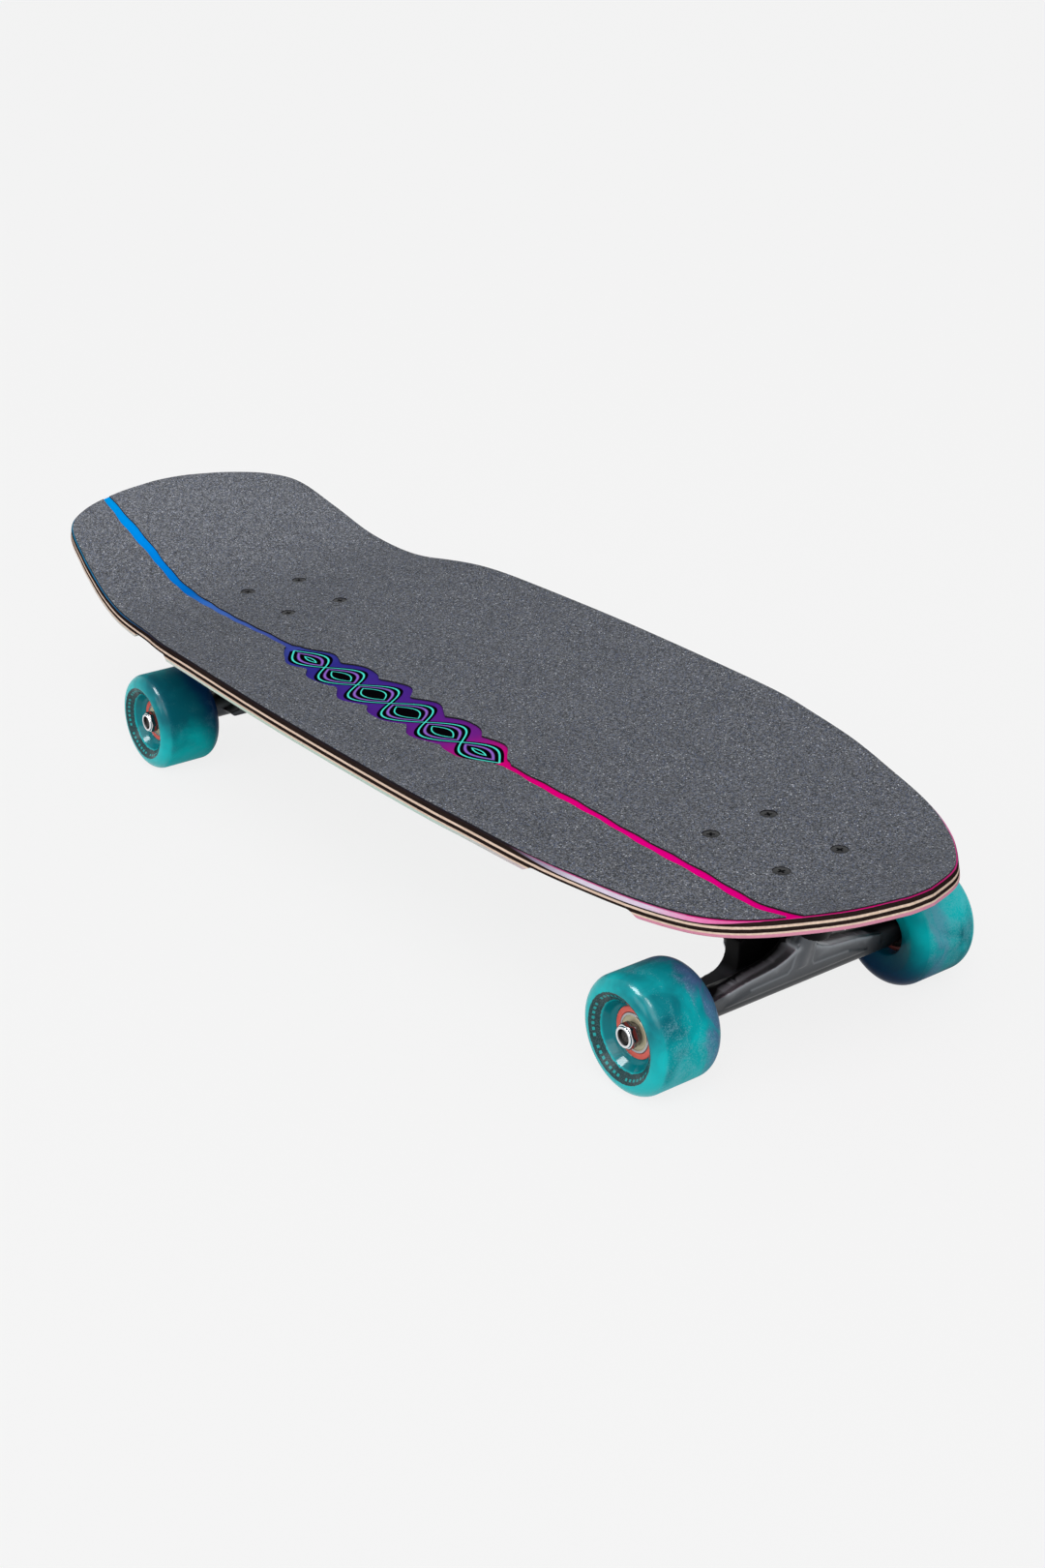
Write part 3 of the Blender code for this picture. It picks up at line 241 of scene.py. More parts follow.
def fill_sheet(bm, ring, flat, depth, rows):
    """Fill one face of a sheet with a grid between its left and right edges."""
    grid = [[ring[-step] for step in range(DECK_COLUMNS + 1)]]
    for row in range(1, rows - 1):
        left = len(ring) - DECK_COLUMNS - row
        spots = [
            flat[row].lerp(flat[left], column / DECK_COLUMNS)
            for column in range(1, DECK_COLUMNS)]
        inside = [bm.verts.new(deck_point(spot, depth)) for spot in spots]
        grid.append([ring[row], *inside, ring[left]])
    grid.append(ring[rows - 1:rows + DECK_COLUMNS])
    for upper, lower in zip(grid, grid[1:]):
        for column in range(DECK_COLUMNS):
            bm.faces.new((upper[column], upper[column + 1], lower[column + 1], lower[column]))


def pressed_sheet(rings):
    """A sheet that follows the deck, from its top edge to its bottom one.

    Each ring is a function that gives the inset and the depth at a place along the deck.
    """
    border, rows = deck_border()
    loop = inset_loop(border, [BORDER_TRIM] * len(border))
    flats = [inset_loop(loop, [ring(point.y)[0] for point in loop]) for ring in rings]
    bm = bmesh.new()
    loops = add_skin(bm, [
        [deck_point(spot, ring(point.y)[1]) for spot, point in zip(flat, loop)]
        for flat, ring in zip(flats, rings)], caps=False)
    for end in (0, -1):
        fill_sheet(bm, loops[end], flats[end], rings[end](0.0)[1], rows)
    bmesh.ops.recalc_face_normals(bm, faces=bm.faces)
    return bm


def rounded_ring(angle):
    """A ring on the deck's rounded upper edge, at an angle from its start on the upper face."""
    inward = 1.0 - math.sin(angle)
    down = 1.0 - math.cos(angle)
    return lambda y: (inward * edge_round(y), down * edge_round(y))


def foot_ring(angle):
    """A ring on the lower edge, which is rounded by the same small radius all along."""
    inward = EDGE_ROUND * (1.0 - math.sin(angle))
    up = EDGE_ROUND * (1.0 - math.cos(angle))
    return lambda y: (inward, DECK_THICKNESS - up)


def polar(radius, angle, height):
    return Vector((radius * math.cos(angle), radius * math.sin(angle), height))


def bow(centre, radius, start, end, steps):
    """Points on an arc, in degrees, with both ends."""
    points = [
        polar(radius, math.radians(start + (end - start) * step / steps), 0.0)
        for step in range(steps + 1)]
    return [(centre[0] + point.x, centre[1] + point.y) for point in points]


def add_turned(bm, profile, sides, place=Matrix()):
    """Add a profile of (radius, height) points turned round Z, then moved to its place.

    A profile that starts on the axis is a solid, any other closes to a ring.
    """
    angles = [math.tau * (side + 0.5) / sides for side in range(sides)]
    add_skin(bm, [
        [place @ polar(radius, angle, height) for angle in (angles if radius else angles[:1])]
        for radius, height in profile], caps=False, joined=profile[0][0] > 0.0)


def pattern_points(centre_y):
    return [
        (side * PATTERN_WIDTH / 2, centre_y + end * PATTERN_LENGTH / 2)
        for side in (1, -1) for end in (1, -1)]


def add_bolt_holes(bm):
    """Countersunk holes for all the deck bolts, through deck and grip."""
    head = BOLT_HEAD_RADIUS + HOLE_PLAY
    shank = BOLT_RADIUS + HOLE_PLAY
    for truck, centre_y, outward in TRUCKS:
        for x, y in pattern_points(centre_y):
            add_turned(bm, [
                (0.0, CUT_PAST), (head, CUT_PAST), (head, -BOLT_HEAD_RIM - HOLE_PLAY),
                (shank, -BOLT_HEAD_HEIGHT - HOLE_PLAY), (shank, -2 * DECK_THICKNESS),
                (0.0, -2 * DECK_THICKNESS),
            ], HOLE_SIDES, Matrix.Translation((x, y, deck_height(0.0, y) + BOLT_HEAD_RISE)))


def rounded_outline(low, high, corner, spacing):
    """A rectangle with round corners, in points about one spacing apart."""
    steps = max(3, round(corner * math.pi / 2 / spacing))
    centres = (
        (high[0] - corner, high[1] - corner), (low[0] + corner, high[1] - corner),
        (low[0] + corner, low[1] + corner), (high[0] - corner, low[1] + corner))
    bends = [
        [Vector(point) for point in bow(centre, corner, 90 * turn, 90 * turn + 90, steps)]
        for turn, centre in enumerate(centres)]
    outline = []
    for bend, following in zip(bends, bends[1:] + bends[:1]):
        outline += bend
        pieces = max(1, round((following[0] - bend[-1]).length / spacing))
        outline += [bend[-1].lerp(following[0], step / pieces) for step in range(1, pieces)]
    return outline


def add_well(bm, side, centre_y):
    """Cutter for one wheel's hollow, with a filleted roof that follows the deck."""
    outer = DECK_HALF_WIDTH + 2 * CUT_PAST
    middle = Vector(((WELL_INNER + outer) / 2, centre_y))
    outline = rounded_outline(
        (WELL_INNER, centre_y - WELL_HALF_LENGTH), (outer, centre_y + WELL_HALF_LENGTH),
        WELL_CORNER, WELL_EDGE_STEP)
    shares = [step / WELL_RAMP_STEPS for step in range(WELL_RAMP_STEPS + 1)]
    levels = [(0.0, DECK_THICKNESS + CUT_PAST)]
    levels += [(share, DECK_THICKNESS - WELL_DEPTH * smooth_step(share)) for share in shares]
    rings = []
    for share, depth in levels:
        inset = WELL_RAMP * (share - WELL_RAMP_OUTSIDE)
        rings.append(([
            point - (point - middle).normalized() * inset for point in outline], depth))
    for share in (0.7, 0.45, 0.2):
        rings.append((
            [middle.lerp(point, share) for point in outline], DECK_THICKNESS - WELL_DEPTH))
    add_skin(bm, [
        [deck_point((side * spot.x, spot.y), depth) for spot in spots]
        for spots, depth in rings])


def shape(*steps):
    """A bmesh of several shapes, each given as its builder and what that is told."""
    bm = bmesh.new()
    for builder, *told in steps:
        builder(bm, *told)
    return bm


def show(name, data):
    """A new object in the scene."""
    obj = bpy.data.objects.new(name, data)
    bpy.context.scene.collection.objects.link(obj)
    return obj


def new_piece(name, source):
    """A new object in the scene, from a bmesh or from a copy of another object's mesh."""
    if isinstance(source, bpy.types.Object):
        return show(name, source.data.copy())
    mesh = bpy.data.meshes.new(name)
    source.to_mesh(mesh)
    source.free()
    return show(name, mesh)


def apply_modifiers(obj):
    graph = bpy.context.evaluated_depsgraph_get()
    graph.update()
    mesh = bpy.data.meshes.new_from_object(obj.evaluated_get(graph))
    obj.modifiers.clear()
    obj.data = mesh
    return obj


def work(obj, operation, *steps):
    """Cut some shapes out of a piece, or fuse them to it."""
    tool = new_piece("tool", shape(*steps))
    modifier = obj.modifiers.new("carve", "BOOLEAN")
    modifier.operation = operation
    modifier.solver = "EXACT"
    modifier.object = tool
    apply_modifiers(obj)
    bpy.data.objects.remove(tool, do_unlink=True)


def mark(obj, name, domain, values):
    """Give each point or face of a piece a number of its own, for its finish to read."""
    obj.data.attributes.new(name, "FLOAT", domain).data.foreach_set("value", values)


def dress(obj, finish, sharp_angle, body, slot, node):
    """Give a piece its finish and its body, and hide the imported node that it stands for; its
    slot is not used.

    A piece without a body is not attached to one.
    """
    obj.data.materials.clear()
    obj.data.materials.append(finish)
    obj.data.shade_smooth()
    obj.data.set_sharp_from_angle(angle=math.radians(sharp_angle))
    if body:
        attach(obj, body)
    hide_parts(node)


class Finish:
    """A material or a world, and the one way to add nodes to it."""

    def __init__(self, name, kind="materials"):
        self.material = getattr(bpy.data, kind).new(name)
        self.material.use_nodes = True
        self.tree = self.material.node_tree
        self.place = self.node("TexCoord", output="Object")    # on the object, in metres

    def plug(self, node, sockets):
        """Set or link a node's sockets."""
        for key, value in sockets.items():
            if isinstance(value, Signal):
                self.tree.links.new(value.socket, node.inputs[key])
            else:
                node.inputs[key].default_value = value

    def node(self, kind, settings=(), sockets=(), output=0):
        """Add a node: its settings first, then the values or links of its sockets."""
        node = self.tree.nodes.new("ShaderNode" + kind)
        for setting, value in dict(settings).items():
            if setting == "stops":
                self.set_stops(node.color_ramp.elements, value)
            else:
                setattr(node, setting, value)
        self.plug(node, dict(sockets))
        return Signal(self, node.outputs[output])

    def set_stops(self, elements, stops):
        while len(elements) < len(stops):
            elements.new(1.0)
        for element, (place, colour) in zip(elements, stops):
            element.position = place
            element.color = colour

    def surface(self, **sockets):
        """Set the shader's own sockets, named with underscores for spaces."""
        self.plug(self.tree.nodes["Principled BSDF"], {
            key.replace("_", " ").title().replace("Ior", "IOR"): value
            for key, value in sockets.items()})
        return self.material

    def math(self, operation, *values):
        return self.node("Math", {"operation": operation}, dict(enumerate(values)))

    def vector_math(self, operation, *values):
        return self.node("VectorMath", {"operation": operation}, dict(enumerate(values)))

    def mix(self, factor, first, second, blend="MIX"):
        return self.node("Mix", {"data_type": "RGBA", "blend_type": blend}, {
            0: factor, 6: first, 7: second}, 2)

    def ramp(self, value, stops):
        return self.node("ValToRGB", {"stops": stops}, {0: value})

    def ease(self, value, low, high):
        """0 below low, 1 above high, and a smooth step between."""
        return self.node("MapRange", {"interpolation_type": "SMOOTHSTEP"}, {
            "Value": value, "From Min": low, "From Max": high})

    def noise(self, scale, detail=2.0, at=None, output=0, **sockets):
        inputs = {"Vector": at or self.place, "Scale": scale, "Detail": detail}
        inputs.update({key.title(): value for key, value in sockets.items()})
        return self.node("TexNoise", {}, inputs, output)

    def stretch(self, factors, at=None):
        return self.vector_math("MULTIPLY", at or self.place, factors)

    def axis(self, letter, at=None):
        return self.node("SeparateXYZ", {}, {0: at or self.place}, letter)

    def radius(self):
        """Distance from the Z axis."""
        return (self.axis("X") ** 2.0 + self.axis("Y") ** 2.0) ** 0.5

    def attribute(self, name):
        return self.node("Attribute", {"attribute_name": name}, output="Fac")

    def bump(self, height, distance, strength):
        return self.node("Bump", {}, {
            "Strength": strength, "Distance": distance, "Height": height})


class Signal:
    """A socket in a finish. Python's operators on it add Math nodes."""

    def __init__(self, finish, socket):
        self.finish = finish
        self.socket = socket

    def __add__(self, other):
        return self.finish.math("ADD", self, other)

    def __radd__(self, other):
        return self.finish.math("ADD", other, self)

    def __sub__(self, other):
        return self.finish.math("SUBTRACT", self, other)

    def __rsub__(self, other):
        return self.finish.math("SUBTRACT", other, self)

    def __mul__(self, other):
        return self.finish.math("MULTIPLY", self, other)

    def __rmul__(self, other):
        return self.finish.math("MULTIPLY", other, self)

    def __truediv__(self, other):
        return self.finish.math("DIVIDE", self, other)

    def __pow__(self, other):
        return self.finish.math("POWER", self, other)

    def __abs__(self):
        return self.finish.math("ABSOLUTE", self)

    def __gt__(self, other):
        return self.finish.math("GREATER_THAN", self, other)

    def __lt__(self, other):
        return self.finish.math("LESS_THAN", self, other)


def rgb(red, green, blue):
    """A colour given from 0 to 255 as a camera shows it, in linear numbers."""
    parts = [
        part / 255 / 12.92 if part < 10.3 else ((part / 255 + 0.055) / 1.055) ** 2.4
        for part in (red, green, blue)]
    return (*parts, 1.0)


def deeper(colour, share):
    return (*[part * share for part in colour[:3]], 1.0)


STRIPE_PLACE = 56.0 * MM         # right of the centre line
PRINT_HALF_WIDTH = 34.0 * MM
MOTIF_HALF_LENGTH = 112.0 * MM
BRAID_PITCH = 37.3 * MM          # length of one loop
BRAID_SWING = 17.0 * MM
BRAID_TAPER = 0.50               # share by which the braid narrows at its ends
BRAID_LINE = (0.55 * MM, 0.85 * MM)    # its half width, and where it has faded out
BRAID_FOOT = 3.0 * MM            # how far the black ground reaches past the braid
BRAID_GLOW = 4.6 * MM            # of the lilac shade inside the braid, from its line
BRAID_HEART = 6.2 * MM
BRAID_VEIN = 9.4 * MM
PLY_BORDERS = (0.2, 2.6, 3.95, 5.95, 6.9)    # depths below the top, in millimetres
PLY_BLUR = 0.12
SHOULDER_PRINT = 1.6             # how much deeper the rim's paint shows at the shoulders
PRINT_COLOURS = [
    (0.00, rgb(0, 150, 226)), (0.08, rgb(0, 138, 232)), (0.17, rgb(6, 104, 192)),
    (0.21, rgb(66, 108, 188)), (0.30, rgb(68, 88, 168)), (0.40, rgb(48, 44, 134)),
    (0.52, rgb(78, 34, 132)), (0.59, rgb(110, 32, 130)), (0.64, rgb(204, 6, 118)),
    (0.70, rgb(226, 0, 120)), (0.82, rgb(226, 0, 130)), (1.00, rgb(214, 0, 118))]
# The near-white lilac stretch from 0.80 to 0.885 stands partly for the sanded shoulders' veneer
# and partly for a painted highlight on the rounded edge.
RIM_COLOURS = [
    (0.00, rgb(40, 128, 158)), (0.12, rgb(34, 108, 150)), (0.20, rgb(34, 84, 124)),
    (0.26, rgb(52, 56, 76)), (0.31, rgb(40, 33, 38)), (0.775, rgb(40, 33, 38)),
    (0.80, rgb(140, 130, 152)), (0.835, rgb(206, 198, 214)), (0.885, rgb(208, 192, 212)),
    (0.915, rgb(222, 128, 178)), (0.95, rgb(212, 74, 146)), (1.00, rgb(196, 30, 116))]
UNDERSIDE_COLOURS = [
    (0.00, rgb(222, 214, 212)), (0.24, rgb(210, 212, 206)), (0.45, rgb(186, 204, 192)),
    (0.70, rgb(184, 204, 196)), (0.80, rgb(196, 176, 182)), (0.88, rgb(212, 142, 164)),
    (1.00, rgb(206, 138, 160))]


def maple_finish():
    """Plies by depth below the top, stained and printed along the length."""
    finish = Finish("pressed_maple")
    x = finish.axis("X")
    y = finish.axis("Y")
    depth = finish.attribute("ply_depth") * 1000.0
    reach = (y + TAIL_REACH) / (TAIL_REACH + NOSE_REACH)
    grain = finish.noise(1.0, 4.0, finish.stretch((900.0, 14.0, 900.0)))
    saw = finish.noise(1.0, 2.0, finish.stretch((300.0, 60.0, 300.0)))
    start, full, fade, end = SHOULDER
    shoulder = finish.ease(y, start, full) - finish.ease(y, fade, end)
    rim = finish.ramp(reach, RIM_COLOURS)
    tan = finish.mix(grain, rgb(200, 170, 148), rgb(236, 214, 198))
    black = finish.mix(grain, rgb(26, 19, 18), rgb(48, 37, 34))
    underside = finish.ramp(reach, UNDERSIDE_COLOURS)
    layer = depth + (saw - 0.5) * 0.25
    colour = rim
    for border, below in zip(PLY_BORDERS, (black, tan, black, tan, underside)):
        level = layer - shoulder * SHOULDER_PRINT if colour is rim else layer
        edge = finish.ease(level, border - PLY_BLUR, border + PLY_BLUR)
        colour = finish.mix(edge, colour, below)
    # The braid of the printed motif, which stands on the stripe
    sideways = x - STRIPE_PLACE
    turn = (y + MOTIF_HALF_LENGTH) * (math.pi / BRAID_PITCH)
    swell = 1.0 - (y / MOTIF_HALF_LENGTH) ** 2 * BRAID_TAPER
    wave = finish.math("SINE", turn) * swell * BRAID_SWING
    nearest = finish.math("MINIMUM", abs(sideways - wave), abs(sideways + wave))
    inside = abs(wave) - abs(sideways)
    body = finish.ease(inside, -BRAID_FOOT - 0.4 * MM, -BRAID_FOOT)
    line = 1.0 - finish.ease(nearest, *BRAID_LINE)
    glow = 1.0 - finish.ease(abs(inside - BRAID_GLOW), 0.3 * MM, 1.5 * MM)
    heart = finish.ease(inside, BRAID_HEART, BRAID_HEART + 0.4 * MM)
    vein = 1.0 - finish.ease(abs(inside - BRAID_VEIN), 0.35 * MM, 0.65 * MM)
    ground = finish.ramp(reach, PRINT_COLOURS)
    motif = finish.mix(body, ground, rgb(6, 5, 9))
    motif = finish.mix(glow * 0.9, motif, rgb(150, 104, 208))
    motif = finish.mix(heart, motif, rgb(6, 5, 9))
    motif = finish.mix(finish.node("Clamp", {}, {0: line + vein}), motif, rgb(76, 222, 204))
    printed = finish.mix(abs(y) < MOTIF_HALF_LENGTH, ground, motif)
    margin = finish.mix(shoulder, rim, rgb(206, 84, 146))
    printed = finish.mix(abs(sideways) < PRINT_HALF_WIDTH, margin, printed)
    on_top = 1.0 - finish.ease(depth, 0.03, 0.12)
    colour = finish.mix(on_top, colour, printed)
    # Inside the bolt holes the wood is painted black, as painted shade
    across = abs(abs(x) - PATTERN_WIDTH / 2)
    along = finish.math("MINIMUM", *[
        abs(abs(y - centre_y) - PATTERN_LENGTH / 2) for truck, centre_y, outward in TRUCKS])
    bore = (across ** 2.0 + along ** 2.0) ** 0.5 < BOLT_HEAD_RADIUS + 2 * HOLE_PLAY
    colour = finish.mix(bore, colour, rgb(14, 13, 15))
    shade = finish.ramp(grain, [(0.0, rgb(232, 232, 232)), (1.0, rgb(255, 255, 255))])
    return finish.surface(
        base_color=finish.mix(1.0 - on_top, colour, shade, "MULTIPLY"),
        roughness=0.42 + grain * 0.12, specular_ior_level=0.0,
        coat_weight=finish.ease(depth, 8.0, 8.6) * 0.4, coat_roughness=0.14,
        normal=finish.bump(grain, 0.05 * MM, 0.35))


round_angles = [math.pi / 2 * step / ROUND_STEPS for step in range(ROUND_STEPS + 1)]
deck = new_piece("dressed_deck", pressed_sheet(
    [rounded_ring(angle) for angle in round_angles]
    + [foot_ring(angle) for angle in reversed(round_angles)]))
work(deck, CUT, (add_bolt_holes,), *[
    (add_well, side, centre_y - outward * WELL_SETBACK)
    for truck, centre_y, outward in TRUCKS for hand, side in HANDS])
mark(deck, "ply_depth", "POINT", [depth_in_deck(vertex.co) for vertex in deck.data.vertices])
dress(deck, maple_finish(), 32.0, "board", "maple", "deck")


# Grip: a sheet of coarse black abrasive, glued to the deck and trimmed inside its rounded edge.
# A wavy stripe is die-cut out of it from tail to nose, and swells to a window round the print.

GRIP_THICKNESS = 0.9 * MM
GRIP_TOP = 1.2 * MM
GRIP_SETBACK = 0.1 * MM
GRIP_EDGE = 0.3 * MM
STRIPE_HALF_WIDTH = 3.05 * MM
WINDOW_MARGIN = 7.5 * MM
STRIPE_STEP = 2.5 * MM
GRAINS_PER_METRE = 1650.0


def stripe_edges(y):
    """Left and right edge of the stripe, which is cut freehand and swells to the window."""
    place = STRIPE_PLACE - 0.7 * MM + smooth_step((y + 250 * MM) / (200 * MM)) * MM
    place += 1.8 * MM * hump(y + 200 * MM, 40 * MM)
    swell = 0.8 * hump(y + 310 * MM, 60 * MM)
    waist = 0.4 * hump(y + 150 * MM, 40 * MM)
    half = STRIPE_HALF_WIDTH + (swell - waist) * MM
    left_cut = 0.5 * math.sin(y / 0.0161) + 0.35 * math.sin(y / 0.0043 + 1.3)
    right_cut = 0.5 * math.sin(y / 0.0133 + 2.0) + 0.35 * math.sin(y / 0.0037)
    left = place - half + left_cut * MM
    right = place + half + right_cut * MM
    share = y / (MOTIF_HALF_LENGTH + WINDOW_MARGIN)
    if abs(share) < 1.0:
        swing = BRAID_SWING * (1.0 - BRAID_TAPER * share ** 2)
        loop = abs(math.sin((y + MOTIF_HALF_LENGTH) * math.pi / BRAID_PITCH))
        window = (swing * (0.45 + 0.55 * loop) + WINDOW_MARGIN) * math.sqrt(1.0 - share ** 6)
        left = min(left, STRIPE_PLACE - window + left_cut * 2 * MM)
        right = max(right, STRIPE_PLACE + window + right_cut * 2 * MM)
    return left, right


def add_stripe(bm):
    """Cutter for the stripe: a ribbon through the grip, from beyond the tail to past the nose."""
    start = -TAIL_REACH - 4 * CUT_PAST
    length = TAIL_REACH + NOSE_REACH + 8 * CUT_PAST
    steps = round(length / STRIPE_STEP)
    rows = []
    for step in range(steps + 1):
        y = start + length * step / steps
        left, right = stripe_edges(y)
        line = (left, (left + right) / 2, right)
        rows.append([deck_point((x, y), -CUT_PAST) for x in line])
        rows[-1] += [deck_point((x, y), CUT_PAST) for x in reversed(line)]
    add_skin(bm, rows)


def grit_finish():
    """Grains of black abrasive in resin: each its own grey, a few pale ones as painted glints,
    and painted light that brightens the tail.
    """
    finish = Finish("black_grit")
    grain, gap = [
        finish.node("TexVoronoi", {}, {"Vector": finish.place, "Scale": GRAINS_PER_METRE}, output)
        for output in ("Color", "Distance")]
    light = finish.axis("X", grain)
    tint = finish.axis("Y", grain)
    clump = finish.noise(520.0)
    cloud = finish.noise(26.0, 3.0)
    # Painted light: the grip is made lighter towards the tail's kick.
    painted_tail_light = 1.0 - finish.ease(finish.axis("Y"), -340 * MM, -190 * MM)
    level = light * 0.80 + (clump - 0.5) * 0.6 + (cloud - 0.5) * 0.12 + painted_tail_light * 0.13 + 0.08
    colour = finish.ramp(level, [
        (0.0, rgb(46, 47, 50)), (0.35, rgb(75, 77, 81)), (0.7, rgb(104, 106, 111)),
        (1.0, rgb(146, 149, 156))])
    colour = finish.mix((tint > 0.88) * 0.3, colour, rgb(92, 112, 156))
    # Painted glints: a few grains get a pale colour, and a lower roughness.
    painted_glint = tint < 0.008
    colour = finish.mix(painted_glint, colour, rgb(196, 199, 206))
    colour = finish.mix(finish.attribute("cut_side"), colour, rgb(38, 36, 41))
    return finish.surface(
        base_color=colour, roughness=0.92 - painted_glint * 0.4, specular_ior_level=0.03,
        normal=finish.bump(light * 0.6 + gap * -0.8, 0.22 * MM, 0.5))


def grip_ring(inset, depth):
    return lambda y: (edge_round(y) + GRIP_SETBACK + inset, depth)


grip = new_piece("dressed_grip", pressed_sheet([
    grip_ring(GRIP_EDGE, -GRIP_TOP),
    grip_ring(GRIP_EDGE / 3, GRIP_EDGE / 3 - GRIP_TOP),
    grip_ring(0.0, GRIP_EDGE - GRIP_TOP),
    grip_ring(0.0, GRIP_THICKNESS - GRIP_TOP)]))
work(grip, CUT, (add_bolt_holes,))
work(grip, CUT, (add_stripe,))
mark(grip, "cut_side", "FACE", [abs(face.normal.z) < 0.5 for face in grip.data.polygons])
dress(grip, grit_finish(), 40.0, "board", "grit", "grip_tape")


# Deck bolts: black steel, countersunk, with a cross recess, and lock nuts under the baseplate.
# Eight of them clamp the trucks to the deck, and a little thread shows past each nut.

PLATE_TOP = 85.22 * MM           # of the baseplates, over the ground
PLATE_THICKNESS = 5.5 * MM
NUT_GAP = 0.3 * MM
BOLT_NUT_ACROSS = 9.5 * MM
BOLT_NUT_HEIGHT = 5.0 * MM
BOLT_TAIL = 1.5 * MM
THREAD_PITCH = 0.8 * MM
THREAD_DEPTH = 0.3 * MM
CROSS_REACH = 2.3 * MM
CROSS_HALF_WIDTH = 0.7 * MM
CROSS_DEPTH = 2.0 * MM
HEX_STEPS = 8
CHAMFER_SHARES = (0.0, 0.25, 0.5, 0.75, 1.0)


def threaded(radius, top, foot):
    """The outer profile of a thread between two heights, from the top down."""
    turns = max(1, round((top - foot) / THREAD_PITCH))
    points = []
    for turn in range(turns):
        height = top + (foot - top) * turn / turns
        points += [(radius - THREAD_DEPTH, height), (radius, height - THREAD_PITCH / 2)]
    return points + [(radius - THREAD_DEPTH, foot)]


def add_box(bm, low, high, place=Matrix()):
    made = bmesh.ops.create_cube(bm, size=1.0)
    size = Vector(high) - Vector(low)
    middle = (Vector(high) + Vector(low)) / 2
    for vert in made["verts"]:
        vert.co = place @ (Vector([a * b for a, b in zip(vert.co, size)]) + middle)


def add_hexagon(bm, across, foot, top, bore=0.0, place=Matrix(), chamfers=(True, True)):
    """Add a hexagon, with its corners turned off at the foot and top and with its bore."""
    corner = across / math.sqrt(3.0)
    flat = across / 2 * 0.97
    drop = (corner - across / 2) * 0.75
    levels = [(share, foot + drop * share) for share in CHAMFER_SHARES]
    levels = levels if chamfers[0] else [(1.0, foot)]
    upper = [(share, top - drop * share) for share in reversed(CHAMFER_SHARES)]
    levels += upper if chamfers[1] else [(1.0, top)]
    rings = [(flat + (corner - flat) * share, height) for share, height in levels]
    if bore:
        rings = [(bore, foot), *rings, (bore, top)]
    angles = [math.tau * (side + 0.5) / (6 * HEX_STEPS) for side in range(6 * HEX_STEPS)]
    sixth = math.pi / 3
    reaches = [across / 2 / math.cos((angle + sixth / 2) % sixth - sixth / 2) for angle in angles]
    add_skin(bm, [
        [place @ polar(min(reach, limit), angle, height)
         for reach, angle in zip(reaches, angles)]
        for limit, height in rings], caps=not bore, joined=bool(bore))


def metal_finish(name, colour, roughness, metallic, peel=0.02 * MM, spread=0.1, specular=0.5):
    """Metal with faint turning marks and small changes of gloss."""
    finish = Finish(name)
    marks = finish.noise(700.0, 3.0)
    return finish.surface(
        base_color=finish.mix(finish.noise(60.0), deeper(colour, 0.86), colour),
        metallic=metallic, roughness=roughness + (marks - 0.5) * spread,
        specular_ior_level=specular, normal=finish.bump(marks, peel, 0.5))


black_steel = metal_finish("black_oxide_steel", rgb(34, 35, 37), 0.36, 0.25, specular=0.12)
for truck, centre_y, outward in TRUCKS:
    head_top = deck_height(0.0, centre_y) + BOLT_HEAD_RISE
    nut_top = PLATE_TOP - PLATE_THICKNESS - NUT_GAP
    nut_foot = nut_top - BOLT_NUT_HEIGHT
    tail = nut_foot - BOLT_TAIL
    shank = [
        (0.0, head_top), (BOLT_HEAD_RADIUS - 0.3 * MM, head_top),
        (BOLT_HEAD_RADIUS - 0.05 * MM, head_top - 0.1 * MM),
        (BOLT_HEAD_RADIUS, head_top - 0.25 * MM), (BOLT_HEAD_RADIUS, head_top - BOLT_HEAD_RIM),
        (BOLT_RADIUS, head_top - BOLT_HEAD_HEIGHT)]
    shank += threaded(BOLT_RADIUS, nut_foot + THREAD_PITCH, tail + 0.3 * MM)
    shank += [(BOLT_RADIUS - 0.6 * MM, tail), (0.0, tail)]
    collar = [
        (BOLT_RADIUS, nut_foot + 1.7 * MM), (4.3 * MM, nut_foot + 1.7 * MM),
        (4.2 * MM, nut_foot + 0.5 * MM), (3.7 * MM, nut_foot), (3.0 * MM, nut_foot),
        (BOLT_RADIUS, nut_foot + 0.4 * MM)]
    for hand, side in HANDS:
        for end, way in (("outer", outward), ("inner", -outward)):
            place = Matrix.Translation((
                side * PATTERN_WIDTH / 2, centre_y + way * PATTERN_LENGTH / 2, 0.0))
            bolt = new_piece(
                f"{truck}_bolt_{end}_{hand}_fine", shape((add_turned, shank, 28, place)))
            turn = place @ Matrix.Translation((0.0, 0.0, head_top)) @ Matrix.Rotation(
                math.radians(25.0 + 40.0 * side + 15.0 * way), 4, "Z")
            for x, y in (
                    (CROSS_REACH, CROSS_HALF_WIDTH), (CROSS_HALF_WIDTH, CROSS_REACH)):
                work(bolt, CUT, (add_box, (-x, -y, -CROSS_DEPTH), (x, y, CUT_PAST), turn))
            nut = new_piece(f"{truck}_bolt_nut_{end}_{hand}_fine", shape(
                (add_hexagon, BOLT_NUT_ACROSS, nut_foot + 1.6 * MM, nut_top, BOLT_RADIUS,
                 place, (True, False)),
                (add_turned, collar, 28, place)))
            for piece, label in ((bolt, "bolt"), (nut, "bolt_nut")):
                dress(
                    piece, black_steel, 35.0, "board", "black_steel",
                    f"{truck}_{label}_{end}_{hand}")


# Riser pads: hard black rubber, moulded with a window and four holes.
# One lies between the deck and each baseplate, and shows as a dark line round it.

PLATE_LENGTH_IN = 43.0 * MM      # from the bolt pattern's middle towards the deck's
PLATE_LENGTH_OUT = 45.0 * MM
PLATE_WIDTH = 57.0 * MM
PLATE_CORNER = 9.0 * MM
PLATE_EDGE_STEP = 2.5 * MM
RISER_THICKNESS = 8.2 * MM
RISER_EDGE = 0.5 * MM
RISER_WINDOW = (10.0 * MM, 15.0 * MM, 6.0 * MM)    # half its width and length, and its corner


